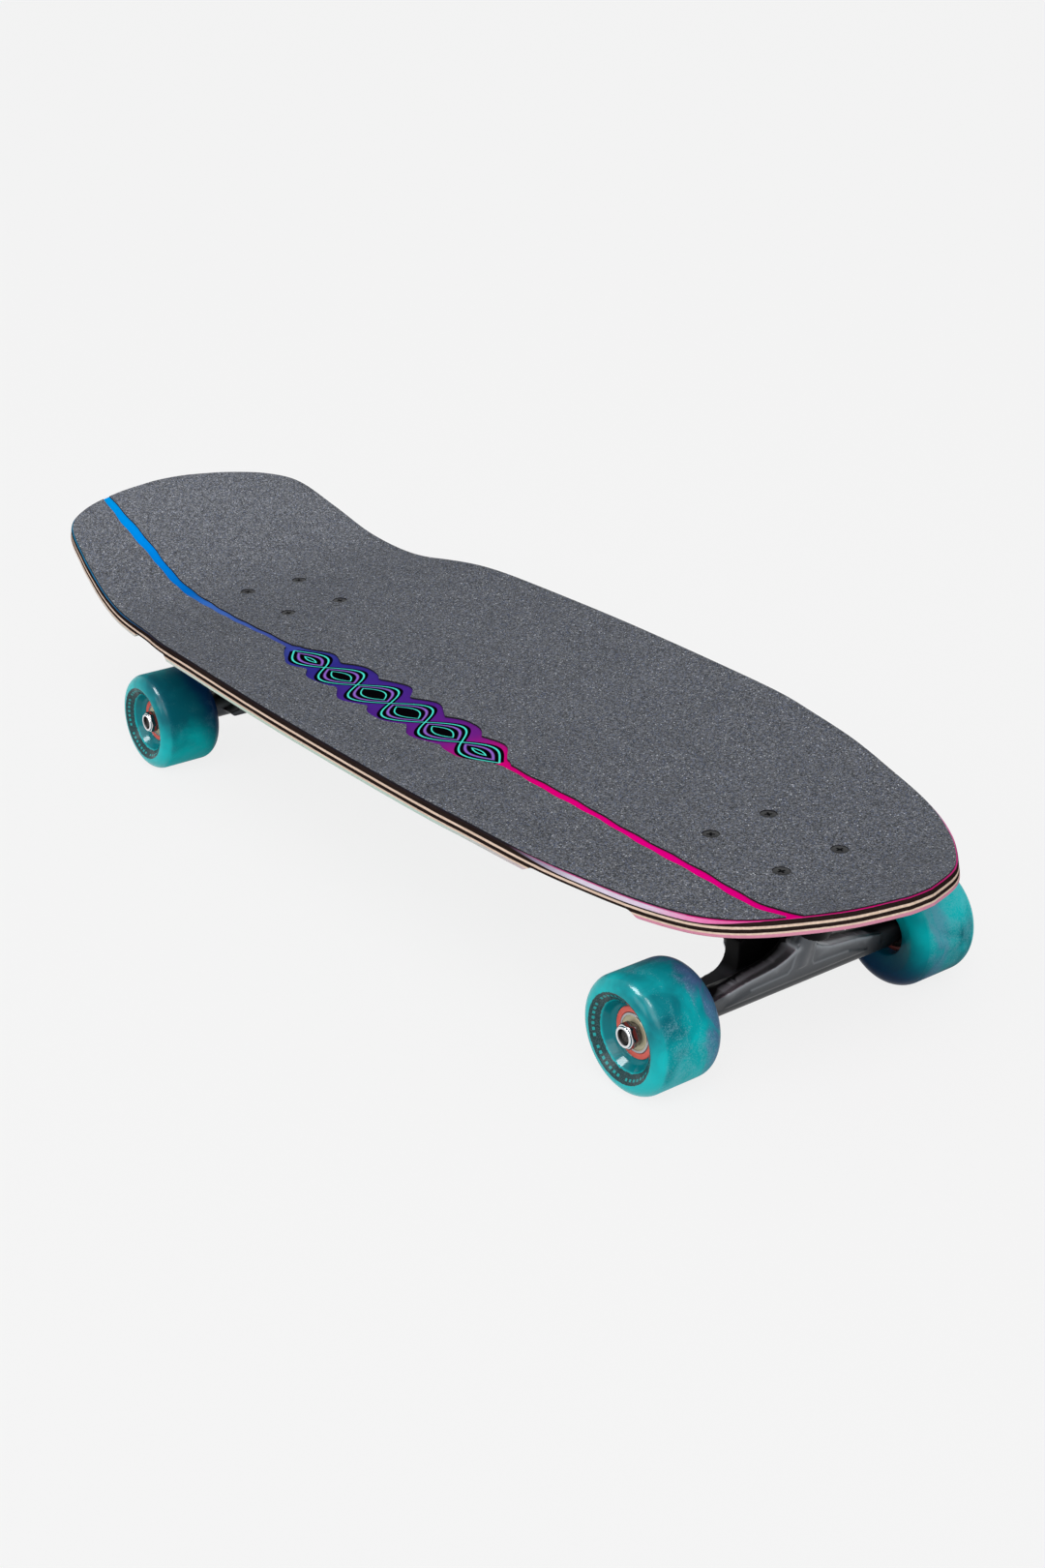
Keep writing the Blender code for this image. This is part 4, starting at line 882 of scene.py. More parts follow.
def truck_place(truck_y, outward):
    """From a truck's own frame, with +Y outward from the plate's top, to the board's."""
    turn = Matrix.Rotation(0.0 if outward > 0 else math.pi, 4, "Z")
    return Matrix.Translation((0.0, truck_y, PLATE_TOP)) @ turn


def on_trucks(*pieces):
    """Put a copy of each piece, made in a truck's own frame, on the front truck and the rear.

    A piece is its label and its source, then its finish, sharp angle, body and slot.
    """
    models = [
        source if isinstance(source, bpy.types.Object) else new_piece(label, source)
        for label, source, *looks in pieces]
    for truck, centre_y, outward in TRUCKS:
        for model, (label, source, *looks, body, slot) in zip(models, pieces):
            twin = new_piece(f"{truck}_{label}_fine", model)
            twin.data.transform(truck_place(centre_y, outward))
            rides = f"{truck}_truck" if body == "truck" else body
            dress(twin, *looks, rides, slot, f"{truck}_{label}")
    for model in models:
        bpy.data.objects.remove(model, do_unlink=True)


def add_slab(bm, outline, low, high, edge):
    """Add a flat slab with rounded edges."""
    levels = [(edge, low), (edge * 0.3, low + edge * 0.3), (0.0, low + edge)]
    levels += [(0.0, high - edge), (edge * 0.3, high - edge * 0.3), (edge, high)]
    add_skin(bm, [
        [(*spot, height) for spot in inset_loop(outline[::-1], [inset] * len(outline))]
        for inset, height in levels])


def add_plate_holes(bm, low, high):
    for x, y in pattern_points(0.0):
        add_cylinder(
            bm, BOLT_RADIUS + HOLE_PLAY, low, high, Matrix.Translation((x, y, 0.0)), HOLE_SIDES)


def add_cylinder(bm, radius, low, high, place=Matrix(), sides=48):
    add_turned(bm, [(0.0, high), (radius, high), (radius, low), (0.0, low)], sides, place)


def rubber_finish(name, colour, roughness):
    """Moulded rubber or soft plastic: a faint sheen, specks and a fine pebbled skin."""
    finish = Finish(name)
    skin = finish.noise(1600.0, 3.0)
    return finish.surface(
        base_color=finish.mix(finish.noise(90.0, 3.0), deeper(colour, 0.7), colour),
        roughness=roughness + (skin - 0.5) * 0.15, normal=finish.bump(skin, 0.04 * MM, 0.5))


PLATE_OUTLINE = rounded_outline(
    (-PLATE_WIDTH / 2, -PLATE_LENGTH_IN), (PLATE_WIDTH / 2, PLATE_LENGTH_OUT),
    PLATE_CORNER, PLATE_EDGE_STEP)
pad = new_piece("pad", shape(
    (add_slab, PLATE_OUTLINE, NUT_GAP, NUT_GAP + RISER_THICKNESS, RISER_EDGE)))
x, y, corner = RISER_WINDOW
work(
    pad, CUT, (add_plate_holes, -CUT_PAST, 2 * RISER_THICKNESS),
    (add_slab, rounded_outline((-x, -y), (x, y), corner, 2 * MM),
     -CUT_PAST, 2 * RISER_THICKNESS, HOLE_PLAY))
on_trucks((
    "riser_pad", pad, rubber_finish("riser_rubber", rgb(34, 34, 36), 0.62), 35.0, "board",
    "bushing_black"))


# Baseplates: aluminium castings with a slanted boss for the kingpin and a cupped housing for
# the pivot, joined by a spine. They are tumbled smooth and coated satin black.

TRUCK_HEIGHT = 52.5 * MM         # from the baseplate's top down to the axle
AXLE_CENTRE = Vector((0.0, 13.8 * MM, -TRUCK_HEIGHT))
AXLE_HEIGHT = 32.72 * MM         # over the ground
AXLES_MIDDLE = 37.0 * MM         # halfway between the axles, along the board
AXLES_HALF_APART = 255.9 * MM
RING_CENTRE = AXLE_CENTRE + Vector((0.0, -27.8 * MM, 15.5 * MM))
PIVOT_CENTRE = Vector((0.0, 31.0 * MM, -14.0 * MM))
KINGPIN_TILT = math.radians(24.0)
KINGPIN_UP = Vector((0.0, math.sin(KINGPIN_TILT), math.cos(KINGPIN_TILT)))
STUB_FOOT = AXLE_CENTRE + Vector((0.0, 5.0 * MM, 11.1 * MM))
STUB_LENGTH = (PIVOT_CENTRE - STUB_FOOT).length
PLATE_EDGE = 1.4 * MM
SPINE_HALF_WIDTH = 7.5 * MM
SPINE_DEPTH = 10.5 * MM
BOSS_RADIUS = 13.0 * MM
SEAT_HEIGHT = 19.4 * MM          # of the washer's seat, along the kingpin from the ring
HEAD_FOOT = 28.8 * MM            # of the kingpin's head
HEAD_POCKET_RADIUS = 9.4 * MM
KINGPIN_RADIUS = 4.76 * MM
KINGPIN_HEAD_ACROSS = 14.3 * MM
CUP_DEPTH = 4.0 * MM
CUP_RADIUS = 5.5 * MM
CUP_OUTER = 8.0 * MM
CUP_TOP = 7.5 * MM
HOUSING_RADIUS = 11.9 * MM
CASTING_VOXEL = 0.65 * MM
CASTING_KEEP = 0.4               # share of the faces kept when a casting's mesh is thinned


def standing(centre, up):
    """From a piece's own frame, made round Z, to its place on a truck."""
    turn = Vector((0.0, 0.0, 1.0)).rotation_difference(up).to_matrix().to_4x4()
    return Matrix.Translation(centre) @ turn


ON_KINGPIN = standing(RING_CENTRE, KINGPIN_UP)
ON_PIVOT = standing(PIVOT_CENTRE, (PIVOT_CENTRE - STUB_FOOT).normalized())
ON_AXLE = standing(AXLE_CENTRE, Vector((1.0, 0.0, 0.0)))


def casting(name, rounds, first, *changes):
    """Fuse shapes to the first, or cut them out of it, and melt all together.

    The sharp corners are rounded off in the given number of rounds.
    """
    obj = new_piece(name, shape(first))
    for operation, *step in changes:
        work(obj, operation, step)
    skin = obj.modifiers.new("skin", "REMESH")
    skin.mode = "VOXEL"
    skin.voxel_size = CASTING_VOXEL
    smooth = obj.modifiers.new("smooth", "SMOOTH")
    smooth.factor = 0.5
    smooth.iterations = rounds
    thin = obj.modifiers.new("thin", "DECIMATE")
    thin.ratio = CASTING_KEEP
    return apply_modifiers(obj)


def add_below_plate(bm, *cylinder):
    """Add a slanted cylinder, trimmed so that it ends inside the plate above it."""
    add_cylinder(bm, *cylinder)
    cut = bmesh.ops.bisect_plane(
        bm, geom=bm.verts[:] + bm.edges[:] + bm.faces[:],
        plane_co=(0.0, 0.0, -PLATE_THICKNESS / 2), plane_no=(0.0, 0.0, 1.0), clear_outer=True)
    rim = [item for item in cut["geom_cut"] if isinstance(item, bmesh.types.BMEdge)]
    bmesh.ops.contextual_create(bm, geom=rim)
    bmesh.ops.recalc_face_normals(bm, faces=bm.faces)


def satin_finish():
    """Satin black coat on cast aluminium, with painted shade lower down, in its hollows and under
    the deck, and painted highlights along its ridges.
    """
    finish = Finish("satin_black_coat")
    peel = finish.noise(800.0, 4.0)
    cloud = finish.noise(45.0, 3.0)
    over = finish.axis("Z") - AXLE_HEIGHT
    # Painted light and shade: the coat is lighter higher up and darker lower down.
    lit = finish.ease(over + (cloud - 0.5) * (6.0 * MM), -8.0 * MM, 12.0 * MM)
    tone = finish.mix(lit, rgb(46, 48, 50), rgb(88, 91, 95))
    # Painted shade: near black behind the shield's front above the axle, and on all that lies
    # close under the deck.
    ahead = abs(finish.axis("Y") - AXLES_MIDDLE) - AXLES_HALF_APART
    painted_pocket_shade = (1.0 - finish.ease(ahead, 6.0 * MM, 9.0 * MM)) * finish.ease(over, MM, 8.0 * MM)
    hollow = finish.math("MAXIMUM", painted_pocket_shade, finish.ease(over, 28.5 * MM, 31.0 * MM))
    tone = finish.mix(hollow, tone, rgb(11, 11, 12))
    # Painted highlight: a pale line along the shield's ridge and round the raised T.
    tone = finish.mix(finish.attribute("worn_edge") * 0.7, tone, rgb(160, 165, 170))
    return finish.surface(
        base_color=tone, metallic=0.92 - hollow * 0.88, roughness=0.33 + peel * 0.14,
        specular_ior_level=0.04, normal=finish.bump(peel, 0.05 * MM, 0.45))


satin_black = satin_finish()
baseplate = casting(
    "baseplate", 3, (add_slab, PLATE_OUTLINE, -PLATE_THICKNESS, 0.0, PLATE_EDGE),
    (FUSE, add_below_plate, BOSS_RADIUS, SEAT_HEIGHT, SEAT_HEIGHT + TRUCK_HEIGHT, ON_KINGPIN),
    (FUSE, add_below_plate, HOUSING_RADIUS, -CUP_DEPTH, CUP_TOP + 14.0 * MM, ON_PIVOT),
    (FUSE, add_box, (-SPINE_HALF_WIDTH, RING_CENTRE.y, -SPINE_DEPTH),
     (SPINE_HALF_WIDTH, PIVOT_CENTRE.y, 0.5 * MM - PLATE_THICKNESS)),
    (CUT, add_plate_holes, -2 * SPINE_DEPTH, CUT_PAST),
    (CUT, add_cylinder, KINGPIN_RADIUS + HOLE_PLAY, 0.0, HEAD_FOOT + CUT_PAST, ON_KINGPIN),
    (CUT, add_cylinder, HEAD_POCKET_RADIUS, HEAD_FOOT, HEAD_FOOT + TRUCK_HEIGHT, ON_KINGPIN),
    (CUT, add_cylinder, CUP_OUTER, -2 * CUT_PAST, CUP_TOP + 0.3 * MM, ON_PIVOT))
on_trucks(("baseplate", baseplate, satin_black, 60.0, "board", "truck_black"))


# Pivot cups, bushings and washers: black urethane cups and bushings, and chromed steel washers.
# They are stacked on the kingpin round the hanger's ring.

BUSHING_RADIUS = 13.0 * MM
BUSHING_END = 11.6 * MM
ROAD_BUSHING_END = 10.0 * MM
BORE = KINGPIN_RADIUS + HOLE_PLAY
FLARED_BORE = BORE + 2.0 * MM    # at a bushing's ring end, which tilts round the kingpin
BENDS_FROM = 14.5 * MM           # along the kingpin from the ring's centre
BENDS_TO = 7.2 * MM
BUSHINGS = (
    ("bushing_board", 1.0, [
        (BUSHING_END, 17.3 * MM), (BUSHING_RADIUS, 14.6 * MM), (BUSHING_RADIUS, 8.7 * MM),
        (BUSHING_END, 5.8 * MM), (FLARED_BORE, 5.8 * MM), (BORE, 17.3 * MM)]),
    ("bushing_road", -1.0, [
        (BUSHING_END, -5.8 * MM), (BUSHING_RADIUS, -8.7 * MM), (ROAD_BUSHING_END, -15.8 * MM),
        (BORE, -15.8 * MM), (FLARED_BORE, -5.8 * MM)]))
# Radius, and heights of the faces along the kingpin from the ring's centre
WASHERS = (
    ("washer_board", 12.6 * MM, 19.1 * MM, 17.6 * MM),
    ("washer_road", 10.8 * MM, -16.1 * MM, -17.6 * MM))
RING_HALF = 5.5 * MM
TURNED_SIDES = 56


def soften(profile, radius, steps=3):
    """A profile with its corners rounded, apart from those on the axis."""
    result = []
    for index, point in enumerate(profile):
        if point[0] == 0.0:
            result.append(point)
            continue
        here = Vector(point)
        before = Vector(profile[index - 1]) - here
        after = Vector(profile[(index + 1) % len(profile)]) - here
        reach = min(radius, before.length * 0.45, after.length * 0.45)
        enter = here + before.normalized() * reach
        leave = here + after.normalized() * reach
        for step in range(steps + 1):
            t = step / steps
            bend = enter * (1 - t) ** 2 + here * 2 * t * (1 - t) + leave * t ** 2
            result.append((bend.x, bend.y))
    return result


def stacked(label, section, rounding, finish, body, slot):
    """A turned piece round the kingpin, for on_trucks."""
    turned = (add_turned, soften(section, rounding), TURNED_SIDES, ON_KINGPIN)
    return label, shape(turned), finish, 50.0, body, slot


bushing_black = rubber_finish("bushing_urethane", rgb(30, 30, 32), 0.38)
chrome = metal_finish("bright_chrome", rgb(222, 223, 226), 0.10, 1.0, 0.01 * MM, 0.06)
cup_profile = [
    (0.0, CUP_TOP), (CUP_OUTER, CUP_TOP), (CUP_OUTER, -CUP_DEPTH),
    (CUP_RADIUS + 1.5 * MM, -CUP_DEPTH), *bow((0.0, 0.0), CUP_RADIUS, 0, 77, 7),
    (0.0, CUP_RADIUS)]
stack = [
    stacked(label, section, 1.2 * MM, bushing_black, None, "bushing_black")
    for label, side, section in BUSHINGS]
stack += [
    stacked(
        label, [(radius, top), (radius, foot), (BORE, foot), (BORE, top)], 0.6 * MM,
        chrome, "board", "chrome")
    for label, radius, top, foot in WASHERS]
stack.append((
    "pivot_cup", shape((add_turned, cup_profile, TURNED_SIDES, ON_PIVOT)),
    bushing_black, 40.0, "board", "bushing_black"))
on_trucks(*stack)
for truck, centre_y, outward in TRUCKS:
    for label, side, section in BUSHINGS:
        bushing = bpy.data.objects[f"{truck}_{label}_fine"]
        held, tilting = [
            truck_place(centre_y, outward) @ ON_KINGPIN @ Vector((0.0, 0.0, side * height))
            for height in (BENDS_FROM, BENDS_TO)]
        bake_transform(bushing)


# Kingpins: black steel bolts with a hexagon head in the baseplate's pocket, and chromed lock
# nuts that squeeze the bushings. A little thread shows past each nut.

KINGPIN_HEAD_HEIGHT = 5.5 * MM
KINGPIN_NUT_TOP = -17.9 * MM
KINGPIN_NUT_FOOT = -25.9 * MM
KINGPIN_END = -28.4 * MM
# The nut's round foot, from its bore out and back: radius, height over the foot
NUT_COLLAR = (
    (KINGPIN_RADIUS, 2.2 * MM), (6.6 * MM, 2.2 * MM), (6.5 * MM, 0.8 * MM),
    (6.1 * MM, 0.15 * MM), (5.6 * MM, 0.0), (KINGPIN_RADIUS, 0.5 * MM))

pin_profile = [(0.0, HEAD_FOOT + 0.5 * MM), (KINGPIN_RADIUS, HEAD_FOOT + 0.5 * MM)]
pin_profile += threaded(KINGPIN_RADIUS, KINGPIN_NUT_FOOT + 2.0 * MM, KINGPIN_END + 0.8 * MM)
pin_profile += [(KINGPIN_RADIUS - 1.0 * MM, KINGPIN_END), (0.0, KINGPIN_END)]
on_trucks(
    ("kingpin", shape(
        (add_turned, pin_profile, 40, ON_KINGPIN),
        (add_hexagon, KINGPIN_HEAD_ACROSS, HEAD_FOOT, HEAD_FOOT + KINGPIN_HEAD_HEIGHT, 0.0,
         ON_KINGPIN, (False, True))), black_steel, 35.0, "board", "black_steel"),
    ("kingpin_nut", shape(
        (add_hexagon, KINGPIN_HEAD_ACROSS, KINGPIN_NUT_FOOT + 2.0 * MM, KINGPIN_NUT_TOP,
         KINGPIN_RADIUS, ON_KINGPIN),
        (add_turned, [(radius, KINGPIN_NUT_FOOT + height) for radius, height in NUT_COLLAR],
         48, ON_KINGPIN)), chrome, 35.0, "board", "chrome"))


# Hangers: aluminium castings that hold the axle, each one a tube with a broad web behind it, a
# ring for the bushings, a shield with a raised T in front, and the stub that sits in the pivot
# cup. They are coated like the baseplates.

TUBE_RADIUS = 8.6 * MM
TUBE_HALF_LENGTH = 79.3 * MM
RING_RADIUS = 17.5 * MM
RING_BORE = 8.0 * MM
FLANK_BACK = -19.8 * MM
FLANK_FRONT = -7.8 * MM
FLANK_HALF_WIDTH = 27.0 * MM
FLANK_TOP = 25.5 * MM
FLANK_DIP = 6.0 * MM
FLANK_CORNER = 6.0 * MM
FLANK_FILLET = 11.0 * MM
FLANK_FILLET_FOOT = 3.0 * MM
FLANK_FOOT_HALF_WIDTH = 58.0 * MM
FLANK_FOOT_LOW = -3.3 * MM
NOTCH_RADIUS = 15.3 * MM
NOTCH_OVERLAP = 0.5 * MM
SHIELD_FRONT = 8.8 * MM
SHIELD_NECK = 6.2 * MM
SHIELD_TOP = 24.5 * MM
SHIELD_HALF_WIDTH = 62.0 * MM
SHIELD_LEAN = 0.25               # how far the front face comes forward, for each part of rise
# The shield's ridge from its neck outwards: place across, height over the axle
SHIELD_RIDGE = [
    (7.0 * MM, 21.6 * MM), (9.4 * MM, 19.1 * MM), (13.8 * MM, 16.5 * MM),
    (19.5 * MM, 14.5 * MM), (27.2 * MM, 13.2 * MM), (35.5 * MM, 12.3 * MM),
    (43.0 * MM, 10.9 * MM), (51.0 * MM, 9.0 * MM)]
SHIELD_END = 6.8 * MM
RIB_PROUD = 0.9 * MM
RIB_HALF_WIDTH = 6.5 * MM
RIB_FLARE = 3.0 * MM
RIB_BAR_HALF_WIDTH = 35.0 * MM
RIB_BAR_TAPER = 16.0 * MM
RIB_BAR_TOP = 6.3 * MM
HIGHLIGHT_FROM = 5.0 * MM             # how far in front of the axle the painted highlight starts
RIDGE_HIGHLIGHT_WIDTH = 2.2 * MM
RIB_HIGHLIGHT_WIDTH = 0.6 * MM
RIB_HIGHLIGHT_SHARE = 0.45
STUB_TIP_RADIUS = 5.0 * MM
STUB_ROOT_RADIUS = 8.2 * MM


def add_wing(bm, half, back, front, lean=0.0):
    """Add a web across the truck from its right half, as (x, height over the axle) points."""
    outline = list(half) + [(-x, height) for x, height in reversed(half) if x > 0.0]
    add_skin(bm, [
        [AXLE_CENTRE + Vector((x, place + slope * max(height, 0.0), height))
         for x, height in outline]
        for place, slope in ((back, 0.0), (front, lean))])


def add_flank(bm):
    fillet = (FLANK_HALF_WIDTH + FLANK_FILLET, FLANK_FILLET_FOOT + FLANK_FILLET)
    add_wing(bm, [
        (0.0, FLANK_TOP - FLANK_DIP), (FLANK_HALF_WIDTH - FLANK_CORNER, FLANK_TOP),
        (FLANK_HALF_WIDTH, FLANK_TOP - FLANK_CORNER / 2),
        *bow(fillet, FLANK_FILLET, 180, 255, 10), (FLANK_FOOT_HALF_WIDTH, 0.0),
        (FLANK_FOOT_HALF_WIDTH + FLANK_FOOT_LOW, FLANK_FOOT_LOW), (0.0, FLANK_FOOT_LOW),
    ], FLANK_BACK, FLANK_FRONT)


def add_shield(bm):
    half = [(0.0, SHIELD_TOP), (SHIELD_NECK, SHIELD_TOP)] + SHIELD_RIDGE
    half += [(SHIELD_HALF_WIDTH, SHIELD_END), (SHIELD_HALF_WIDTH, 0.0), (0.0, 0.0)]
    add_wing(bm, half, 0.0, SHIELD_FRONT, SHIELD_LEAN)


RIB_EDGE = [
    (RIB_HALF_WIDTH, SHIELD_TOP - RIB_PROUD / 2),
    (RIB_HALF_WIDTH + RIB_FLARE / 3, RIB_BAR_TOP + RIB_FLARE),
    (RIB_HALF_WIDTH + RIB_FLARE, RIB_BAR_TOP),
    (RIB_BAR_HALF_WIDTH, RIB_BAR_TOP - 1.0 * MM)]


def add_rib(bm):
    half = [(0.0, SHIELD_TOP - RIB_PROUD / 2)] + RIB_EDGE
    half += [(RIB_BAR_HALF_WIDTH + RIB_BAR_TAPER, 0.0), (0.0, 0.0)]
    add_wing(bm, half, SHIELD_FRONT / 2, SHIELD_FRONT + RIB_PROUD, SHIELD_LEAN)


def add_stub(bm):
    add_turned(bm, [
        (0.0, STUB_TIP_RADIUS), *bow((0.0, 0.0), STUB_TIP_RADIUS, 80, 0, 5),
        (STUB_ROOT_RADIUS, -STUB_LENGTH), (0.0, -STUB_LENGTH)], 40, ON_PIVOT)


def distance_to_line(point, line):
    """How far a point lies from a broken line, both in the truck's cross plane."""
    nearest = 1.0
    for start, end in zip(line, line[1:]):
        start, end = Vector(start), Vector(end)
        along = (point - start).dot(end - start) / (end - start).length_squared
        nearest = min(nearest, (point - start.lerp(end, min(max(along, 0.0), 1.0))).length)
    return nearest


def painted_highlight_at(point):
    """How much painted highlight a point gets: along the shield's ridge and round the raised T.
    """
    place = point - AXLE_CENTRE
    if place.y <= HIGHLIGHT_FROM:
        return 0.0
    spot = Vector((abs(place.x), place.z))
    rib = hump(distance_to_line(spot, RIB_EDGE), RIB_HIGHLIGHT_WIDTH)
    return max(hump(distance_to_line(spot, SHIELD_RIDGE), RIDGE_HIGHLIGHT_WIDTH), RIB_HIGHLIGHT_SHARE * rib)


notch = RING_HALF - NOTCH_OVERLAP
hanger = casting(
    "hanger", 7, (add_flank,),
    (CUT, add_cylinder, NOTCH_RADIUS, notch, TRUCK_HEIGHT, ON_KINGPIN),
    (CUT, add_cylinder, NOTCH_RADIUS, -TRUCK_HEIGHT, -notch, ON_KINGPIN),
    (FUSE, add_cylinder, TUBE_RADIUS, -TUBE_HALF_LENGTH, TUBE_HALF_LENGTH, ON_AXLE),
    (FUSE, add_cylinder, RING_RADIUS, -RING_HALF, RING_HALF, ON_KINGPIN),
    (FUSE, add_shield), (FUSE, add_rib), (FUSE, add_stub),
    (CUT, add_cylinder, RING_BORE, -TRUCK_HEIGHT, TRUCK_HEIGHT, ON_KINGPIN))
# Painted highlight along the shield's ridge and round the raised T.
mark(hanger, "worn_edge", "POINT", [painted_highlight_at(vertex.co) for vertex in hanger.data.vertices])
on_trucks(("hanger", hanger, satin_black, 60.0, "truck", "truck_black"))


# Axles: steel rods through the hangers, threaded at the ends, with a thin speed washer and a
# spacer between the bearings on each side.

AXLE_RADIUS = 4.0 * MM
WHEEL_OFFSET = 92.8 * MM
THREAD_START = 105.8 * MM
THREAD_BLACK = (105.0 * MM, 106.0 * MM)    # where the bright steel gives way to black
AXLE_END = 110.7 * MM
SPACER_HALF = 5.0 * MM
SPACER_RADIUS = 5.6 * MM
SPEED_WASHER = (6.4 * MM, 0.6 * MM)    # radius, thickness
SPEED_WASHER_PLACE = 79.6 * MM

washer_end = SPEED_WASHER_PLACE + SPEED_WASHER[1]
axle_half = [
    (AXLE_RADIUS, SPEED_WASHER_PLACE), (SPEED_WASHER[0], SPEED_WASHER_PLACE),
    (SPEED_WASHER[0], washer_end), (AXLE_RADIUS, washer_end),
    (AXLE_RADIUS, WHEEL_OFFSET - SPACER_HALF), (SPACER_RADIUS, WHEEL_OFFSET - SPACER_HALF),
    (SPACER_RADIUS, WHEEL_OFFSET + SPACER_HALF), (AXLE_RADIUS, WHEEL_OFFSET + SPACER_HALF)]
axle_half += [
    (radius, -height)
    for radius, height in threaded(AXLE_RADIUS, -THREAD_START, 0.5 * MM - AXLE_END)]
axle_half += [(AXLE_RADIUS - 0.8 * MM, AXLE_END), (0.9 * MM, AXLE_END)]
axle_half += [(0.0, AXLE_END - 0.7 * MM)]


def axle_finish():
    """Bright steel, with a dull black end inside each nut's collar."""
    finish = Finish("axle_steel")
    grit = finish.noise(1600.0)
    end = finish.ease(abs(finish.axis("X")), *THREAD_BLACK)
    black = finish.mix(finish.ease(grit, 0.4, 0.65), rgb(20, 18, 18), rgb(78, 72, 68))
    return finish.surface(
        base_color=finish.mix(end, rgb(206, 207, 210), black), metallic=1.0 - end * 0.6,
        roughness=0.18 + end * 0.35, normal=finish.bump(grit, 0.05 * MM, 0.5))


rod = axle_half[::-1] + [(radius, -height) for radius, height in axle_half]
on_trucks((
    "axle", shape((add_turned, rod, 36, ON_AXLE)), axle_finish(), 35.0, "truck", "chrome"))


# Wheels: soft urethane cast round a hard coral core, poured in two colours so that each is
# marbled in its own way. The tread is turned, the lips are round and polished, and a dark ring
# is printed on the dished outer face.

TYRE_RADIUS = 32.7 * MM
TYRE_HALF_WIDTH = 22.3 * MM
TYRE_OUTER_LIP = (8.0 * MM, 8.3 * MM)    # along the axle, along the radius
TYRE_INNER_LIP = (9.4 * MM, 9.6 * MM)
LIP_STEPS = 12
CORE_RADIUS = 14.2 * MM
CORE_HALF_WIDTH = 12.3 * MM
RECESS_SHELF = 16.6 * MM
RECESS_SHELF_RISE = 1.2 * MM
INNER_MOUTH = 12.6 * MM          # radius of the inner side's opening, over the core
OUTER_RECESS_EDGE = 19.3 * MM
OUTER_FACE_DISH = 3.9 * MM
INNER_FACE_DISH = 2.7 * MM
TYRE_SIDES = 128
PRINT_INNER = 20.0 * MM
PRINT_OUTER = 25.2 * MM
DASH_RADIUS = 22.5 * MM
DASHES = 44                      # places for a dash round the ring, in groups of eight


def tyre_profile():
    """Tyre section from the core's outer edge round the lips and tread to its inner edge."""
    angles = [math.pi / 2 * step / LIP_STEPS for step in range(LIP_STEPS + 1)]
    along, radial = TYRE_OUTER_LIP
    outer_lip = [
        (TYRE_RADIUS - radial * (1 - math.sin(angle)),
         TYRE_HALF_WIDTH - along * (1 - math.cos(angle))) for angle in angles]
    along, radial = TYRE_INNER_LIP
    inner_lip = [
        (TYRE_RADIUS - radial * (1 - math.cos(angle)),
         along * (1 - math.sin(angle)) - TYRE_HALF_WIDTH) for angle in angles]
    face = [
        (CORE_RADIUS, CORE_HALF_WIDTH), (RECESS_SHELF, CORE_HALF_WIDTH + RECESS_SHELF_RISE),
        (OUTER_RECESS_EDGE, TYRE_HALF_WIDTH - OUTER_FACE_DISH)]
    back = [
        (INNER_MOUTH + 1.0 * MM, INNER_FACE_DISH - TYRE_HALF_WIDTH),
        (INNER_MOUTH, -CORE_HALF_WIDTH - 0.2 * MM), (CORE_RADIUS, -CORE_HALF_WIDTH - 0.2 * MM)]
    return soften(face + outer_lip + inner_lip + back, 0.9 * MM)


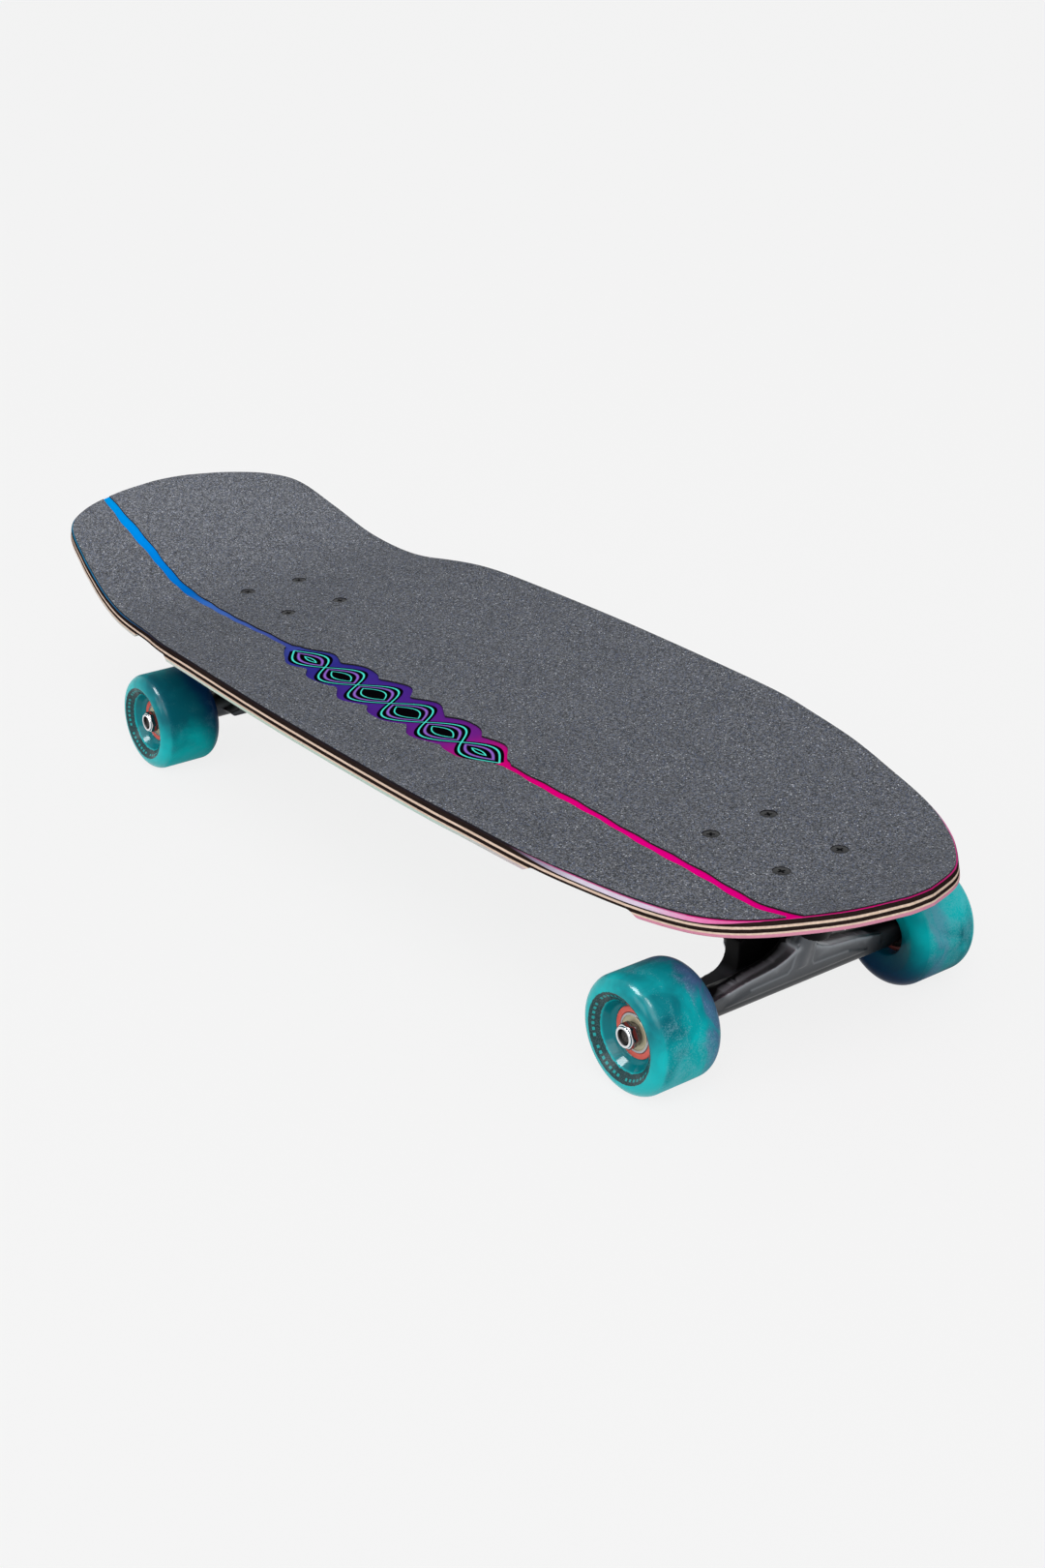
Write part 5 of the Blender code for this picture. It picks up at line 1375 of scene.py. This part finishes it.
def urethane_finish(
        seed, shaded_angle, fall, dark, violet_place, violet_reach, violet_share, indigo_share, milky):
    """Teal urethane with hazy violet and indigo clouds, and the print on its outer face.

    The second argument is the angle round the wheel, in degrees, of the side given painted
    shade: the teal darkens towards it by fall, the indigo gathers there, and the lip and the
    milky haze are painted lighter away from it. Dark is how deep it is all round. The violet
    streak runs round at its own place along the axle, in millimetres. The last three are
    shares of violet, indigo and milky haze.
    """
    finish = Finish(f"marbled_urethane_{seed}")
    x = finish.axis("X")
    y = finish.axis("Y")
    out = finish.axis("Z")
    radius = finish.radius()
    to_shaded_side = x * math.cos(math.radians(shaded_angle)) + y * math.sin(math.radians(shaded_angle))
    near_shaded_side = to_shaded_side * (0.5 / TYRE_RADIUS) + 0.5
    moved = finish.vector_math("ADD", finish.place, (seed * 0.37, seed * 0.11, seed * 0.23))
    swirl = finish.noise(24.0, 2.0, moved, "Color")
    warped = finish.vector_math("MULTIPLY_ADD", swirl, (0.06, 0.06, 0.06), moved)
    haze = finish.noise(26.0, 4.0, warped, roughness=0.5)
    streak = finish.noise(48.0, 6.0, finish.stretch((1.0, 1.0, 2.6), warped), roughness=0.62)
    speck = finish.noise(1300.0)
    inner = 1.0 - finish.ease(out, -20.0 * MM, 6.0 * MM)
    tread = finish.ease(radius, 31.6 * MM, 32.5 * MM)
    front = out > 10.0 * MM
    # Painted light and shade: the teal darkens towards the shaded side, and the lip away from it
    # is painted lighter.
    painted_lip_light = finish.ease(out, 2.0 * MM, 15.0 * MM) * (1.0 - tread) * (1.0 - near_shaded_side)
    clear = haze * 0.8 + (0.1 - dark) + (0.5 - near_shaded_side) * fall + painted_lip_light * 0.3
    colour = finish.mix(finish.ease(clear, 0.26, 0.62), rgb(0, 88, 102), rgb(0, 178, 182))
    beside = abs(out - violet_place * MM)
    in_streak = 1.0 - finish.ease(beside, violet_reach * 0.2 * MM, violet_reach * MM)
    violet = finish.ease(streak * 0.9 + in_streak * 0.36 + near_shaded_side * 0.06, 0.62, 0.90)
    colour = finish.mix(violet * violet_share, colour, rgb(80, 88, 138))
    # The indigo is partly marbling and partly painted shade, on the inner side and the shaded
    # side.
    indigo = finish.ease(haze * 0.4 + inner * 0.28 + near_shaded_side * 0.46, 0.58, 0.90)
    colour = finish.mix(indigo * indigo_share, colour, rgb(0, 34, 74))
    # The milky haze is partly marbling and partly painted light, lighter away from the shaded
    # side.
    milk = finish.ease(streak * 0.6 + speck * 0.4 - near_shaded_side * 0.2, 0.32, 0.54) * tread
    colour = finish.mix(milk * milky, colour, rgb(138, 190, 204))
    # Painted shade inside the outer face's recess.
    painted_recess_shade = (1.0 - finish.ease(radius, 18.6 * MM, 19.8 * MM)) * front
    colour = finish.mix(painted_recess_shade * 0.70, colour, rgb(0, 62, 80))
    # The dark ring's rough edges, its worn ink, and the dashes left out of it
    rough = radius + finish.noise(500.0, 3.0) * (1.1 * MM)
    ring = finish.ease(rough, PRINT_INNER, PRINT_INNER + 0.3 * MM) * (
        1.0 - finish.ease(rough, PRINT_OUTER, PRINT_OUTER + 0.3 * MM)) * front
    fleck = finish.ease(finish.noise(1500.0, 1.0), 0.45, 0.62)
    colour = finish.mix(ring * 0.95, colour, finish.mix(fleck, rgb(28, 37, 40), rgb(52, 68, 72)))
    turns = finish.math("ARCTAN2", y, x) * (DASHES / math.tau)
    along = abs(finish.math("FRACT", turns) - 0.5)
    dash = (along < 0.27) * (abs(radius - DASH_RADIUS) < 0.6 * MM)
    group = finish.math("FRACT", turns * 0.125) > 0.16
    colour = finish.mix(dash * group * ring * 0.8, colour, rgb(30, 160, 160))
    polish = finish.ease(out, -12.0 * MM, 4.0 * MM) * (1.0 - tread)
    return finish.surface(
        base_color=colour, roughness=0.22 + haze * 0.08 + tread * 0.30,
        specular_ior_level=0.05, coat_weight=polish * 0.3, coat_roughness=0.10,
        normal=finish.bump(finish.noise(260.0, 3.0), 0.04 * MM, 0.35))


def wheel_place(centre_y, outward, side):
    """From a wheel's own frame, with +Z outward along the axle, to the board's."""
    axle_y = centre_y + outward * AXLE_CENTRE.y
    turn = Matrix.Rotation(side * math.pi / 2, 4, "Y")
    return Matrix.Translation((side * WHEEL_OFFSET, axle_y, AXLE_HEIGHT)) @ turn


def on_wheels(label, source, finishes, sharp_angle, body, slot):
    """Put a copy of a piece on each wheel, right before left, in its own finish or the same."""
    model = new_piece(label, source)
    coats = list(finishes) if isinstance(finishes, list) else [finishes] * 4
    for truck, centre_y, outward in TRUCKS:
        for hand, side in HANDS:
            piece = new_piece(f"{truck}_{hand}_{label}_fine", model)
            piece.matrix_world = wheel_place(centre_y, outward, side)
            rides = f"{truck}_{hand}_wheel" if body == "wheel" else f"{truck}_truck"
            dress(piece, coats.pop(0), sharp_angle, rides, slot, f"{truck}_{hand}_{label}")
    bpy.data.objects.remove(model, do_unlink=True)


on_wheels(
    "tyre", shape((add_turned, tyre_profile(), TYRE_SIDES)),
    [urethane_finish(1, 165.0, 0.30, 0.0, -21.0, 22.0, 0.75, 0.25, 0.34),
     urethane_finish(2, 195.0, 0.45, 0.08, -8.0, 13.0, 0.40, 0.95, 0.24),
     urethane_finish(3, 150.0, 0.65, -0.08, -21.0, 8.0, 0.50, 0.95, 0.10),
     urethane_finish(4, 30.0, 0.50, 0.0, -12.0, 10.0, 0.60, 0.60, 0.30)],
    50.0, "wheel", "urethane")


# Cores: hard coral plastic rings that seat the two bearings, with a web between them.
# The tyre is cast round them, so only their ends show in the recesses.

BEARING_RADIUS = 11.0 * MM
BEARING_GAP = 0.3 * MM
CORE_WEB_RADIUS = 9.4 * MM


def coral_finish():
    """Coral plastic, with painted shade on the side that faces the truck."""
    finish = Finish("coral_core")
    cloud = finish.noise(90.0, 3.0)
    # Painted shade on the end that faces the truck.
    painted_truck_side_shade = 1.0 - finish.ease(finish.axis("Z"), -11.0 * MM, -6.0 * MM)
    clean = finish.mix(cloud, rgb(206, 80, 66), rgb(228, 100, 86))
    return finish.surface(
        base_color=finish.mix(painted_truck_side_shade * 0.8, clean, rgb(60, 22, 20)),
        roughness=0.36 + cloud * 0.1, normal=finish.bump(cloud, 0.04 * MM, 0.5))


SEAT = BEARING_RADIUS + BEARING_GAP / 2
core_profile = soften([
    (SEAT, CORE_HALF_WIDTH), (CORE_RADIUS, CORE_HALF_WIDTH), (CORE_RADIUS, -CORE_HALF_WIDTH),
    (SEAT, -CORE_HALF_WIDTH), (SEAT, -SPACER_HALF), (CORE_WEB_RADIUS, -SPACER_HALF),
    (CORE_WEB_RADIUS, SPACER_HALF), (SEAT, SPACER_HALF)], 0.4 * MM)
on_wheels(
    "core", shape((add_turned, core_profile, 96)), coral_finish(), 45.0, "wheel",
    "core_coral")


# Bearings: steel races with a pressed shield between them. Two sit in each core, and the
# outer one shows its champagne shield in the recess.

BEARING_HALF = 3.5 * MM
BEARING_PLACE = 8.8 * MM
RACE = 9.7 * MM
INNER_RACE = 5.7 * MM
# One side of a bearing, from its bore out, with a groove between each race and the shield:
# radius, depth below the face
BEARING_FACE = (
    (AXLE_RADIUS + 0.1 * MM, 0.0), (INNER_RACE - 0.1 * MM, 0.0), (INNER_RACE, 0.5 * MM),
    (INNER_RACE + 0.3 * MM, 0.5 * MM), (INNER_RACE + 0.5 * MM, 0.2 * MM),
    (RACE - 0.9 * MM, 0.2 * MM), (RACE - 0.6 * MM, 0.45 * MM), (RACE - 0.1 * MM, 0.45 * MM),
    (RACE, 0.0), (BEARING_RADIUS - 0.25 * MM, 0.0), (BEARING_RADIUS, 0.25 * MM))


def bearing_finish():
    """Polished races and a champagne shield, with painted shade on the side that faces the truck.
    """
    finish = Finish("bearing_steel")
    radius = finish.radius()
    shield = finish.ease(radius, INNER_RACE, INNER_RACE + 0.2 * MM) * (
        1.0 - finish.ease(radius, RACE - 0.2 * MM, RACE))
    rings = finish.noise(500.0, 3.0, finish.stretch((1.0, 1.0, 0.0)))
    colour = finish.mix(shield, rgb(178, 178, 180), rgb(196, 186, 156))
    # Painted shade on the side that faces the truck.
    painted_truck_side_shade = 1.0 - finish.ease(finish.axis("Z"), -8.0 * MM, 0.0)
    return finish.surface(
        base_color=finish.mix(painted_truck_side_shade, colour, rgb(20, 18, 17)), metallic=1.0 - shield * 0.55,
        roughness=0.20 + shield * 0.22 + rings * 0.06 + painted_truck_side_shade * 0.3,
        normal=finish.bump(rings, 0.02 * MM, 0.4))


bearing_steel = bearing_finish()
for label, middle in (("bearing_outer", BEARING_PLACE), ("bearing_inner", -BEARING_PLACE)):
    section = [(radius, middle + BEARING_HALF - depth) for radius, depth in BEARING_FACE]
    section += [
        (radius, middle - BEARING_HALF + depth) for radius, depth in reversed(BEARING_FACE)]
    on_wheels(
        label, shape((add_turned, section, 80)), bearing_steel, 30.0, "wheel", "bearing_cream")


# Axle nuts: chromed lock nuts with turned corners and a nylon collar, on a speed washer.
# They hold the wheels on and stay still while the wheels spin.

COLLAR_BORE = 4.5 * MM
AXLE_NUT_ACROSS = 12.7 * MM
AXLE_NUT_HEIGHT = 6.3 * MM
CROWN_HEIGHT = 0.9 * MM
WASHER_FOOT = CORE_HALF_WIDTH + 0.3 * MM
NUT_FOOT = WASHER_FOOT + SPEED_WASHER[1]
NUT_END = NUT_FOOT + AXLE_NUT_HEIGHT
CROWN_FOOT = NUT_END - CROWN_HEIGHT


def nut_finish():
    """Bright chrome on the crown, darker chrome on the hexagon as painted shade, and the black
    nylon collar that grips the thread.
    """
    finish = Finish("chromed_nut")
    collar = 1.0 - finish.ease(finish.radius(), COLLAR_BORE - 0.1 * MM, COLLAR_BORE + 0.1 * MM)
    marks = finish.noise(700.0, 3.0)
    # Painted shade: the hexagon below the crown gets a darker chrome than the crown.
    crown = finish.ease(finish.axis("Z"), CROWN_FOOT - 0.4 * MM, CROWN_FOOT)
    metal = finish.mix(crown, rgb(128, 124, 126), rgb(232, 233, 236))
    return finish.surface(
        base_color=finish.mix(collar, metal, rgb(26, 24, 24)), metallic=1.0 - collar,
        roughness=0.10 + collar * 0.4 + marks * 0.04, normal=finish.bump(marks, 0.01 * MM, 0.4))


washer_section = [
    (AXLE_RADIUS, NUT_FOOT), (SPEED_WASHER[0], NUT_FOOT), (SPEED_WASHER[0], WASHER_FOOT),
    (AXLE_RADIUS, WASHER_FOOT)]
crown_section = [
    (AXLE_RADIUS, CROWN_FOOT - 0.1 * MM), (6.0 * MM, CROWN_FOOT - 0.1 * MM),
    (5.95 * MM, NUT_END - 0.4 * MM), (5.7 * MM, NUT_END), (COLLAR_BORE, NUT_END),
    (COLLAR_BORE - 0.1 * MM, CROWN_FOOT), (AXLE_RADIUS, CROWN_FOOT)]
on_wheels("axle_nut", shape(
    (add_turned, soften(washer_section, 0.15 * MM, 2), 48),
    (add_hexagon, AXLE_NUT_ACROSS, NUT_FOOT, CROWN_FOOT, AXLE_RADIUS),
    (add_turned, crown_section, 48)), nut_finish(), 35.0, "truck", "chrome")


# Studio: a pale floor without a visible edge, a broad sun and soft lamps over an even sky, and
# the camera at the photograph's place and angle. Two of the lamps only show as glints.

CAMERA_PLACE = Vector((0.69637, 0.98924, 0.58623))
CAMERA_AZIMUTH = math.radians(143.190)
CAMERA_ELEVATION = math.radians(24.481)
CAMERA_ROLL = math.radians(-0.088)
CAMERA_LENS = 48.127
FLOOR_HALF = 40.0
AIM = Vector((0.1, 0.2, 0.05))
TO_SUN = Vector((0.38, 0.50, 0.78))
# Name, place, size, watts, and whether it lights the surfaces too
SOFTBOXES = (
    ("side_softbox", (2.38, -0.05, 1.25), 1.2, 13.0, True),
    ("camera_softbox", (1.25, 1.60, 2.05), 1.2, 10.0, True),
    ("tail_glint", (0.95, -0.44, 2.25), 0.9, 85.0, False),
    ("nose_glint", (0.60, 1.20, 3.37), 1.1, 130.0, False))


def backdrop(finish, lit, seen, share):
    """Show the camera, mirrors and glass a share of one shader, and light from the other."""
    camera, mirror, glass = [
        finish.node("LightPath", output=f"Is {ray} Ray")
        for ray in ("Camera", "Glossy", "Transmission")]
    direct = finish.math("MAXIMUM", finish.math("MAXIMUM", camera, mirror), glass)
    both = finish.node("MixShader", {}, {0: direct * share, 1: lit, 2: seen})
    end = next(node for node in finish.tree.nodes if node.type.startswith("OUTPUT"))
    finish.plug(end, {"Surface": both})


floor_paint = Finish("pale_floor")
backdrop(
    floor_paint, floor_paint.node("BsdfDiffuse", {}, {"Color": rgb(226, 226, 226)}),
    floor_paint.node("Emission", {}, {"Color": rgb(246, 246, 246)}), 0.90)
floor_mesh = bmesh.new()
bmesh.ops.create_grid(floor_mesh, x_segments=2, y_segments=2, size=FLOOR_HALF)
floor = new_piece("studio_floor", floor_mesh)
floor.data.materials.append(floor_paint.material)

sky = Finish("studio_light", "worlds")
backdrop(
    sky, sky.node("Background", {}, {"Color": (1.0, 1.0, 1.0, 1.0), "Strength": 0.45}),
    sky.node("Background", {}, {"Color": rgb(244, 244, 244)}), 1.0)
bpy.context.scene.world = sky.material

for name, place, size, watts, lights in SOFTBOXES:
    lamp = bpy.data.lights.new(name, "AREA")
    lamp.size = size
    lamp.energy = watts
    softbox = show(name, lamp)
    softbox.location = place
    softbox.rotation_mode = "QUATERNION"
    softbox.rotation_quaternion = (AIM - Vector(place)).to_track_quat("-Z", "Y")
    softbox.visible_diffuse = lights

sun = bpy.data.lights.new("broad_sun", "SUN")
sun.energy = 1.6
sun.angle = math.radians(55.0)
sun_lamp = show("broad_sun", sun)
sun_lamp.rotation_mode = "QUATERNION"
sun_lamp.rotation_quaternion = TO_SUN.to_track_quat("Z", "Y")

back = Vector((
    math.sin(CAMERA_AZIMUTH) * math.cos(CAMERA_ELEVATION),
    -math.cos(CAMERA_AZIMUTH) * math.cos(CAMERA_ELEVATION), math.sin(CAMERA_ELEVATION)))
level = polar(1.0, CAMERA_AZIMUTH, 0.0)
right = level * math.cos(CAMERA_ROLL) + back.cross(level) * math.sin(CAMERA_ROLL)
lens = bpy.data.cameras.new("photo_camera")
lens.lens = CAMERA_LENS
lens.sensor_width = 36.0
lens.clip_end = 200.0
camera = show("photo_camera", lens)
camera.matrix_world = Matrix.Translation(CAMERA_PLACE) @ Matrix(
    (right, back.cross(right), back)).transposed().to_4x4()
bpy.context.scene.camera = camera
bpy.context.scene.view_settings.view_transform = "Standard"
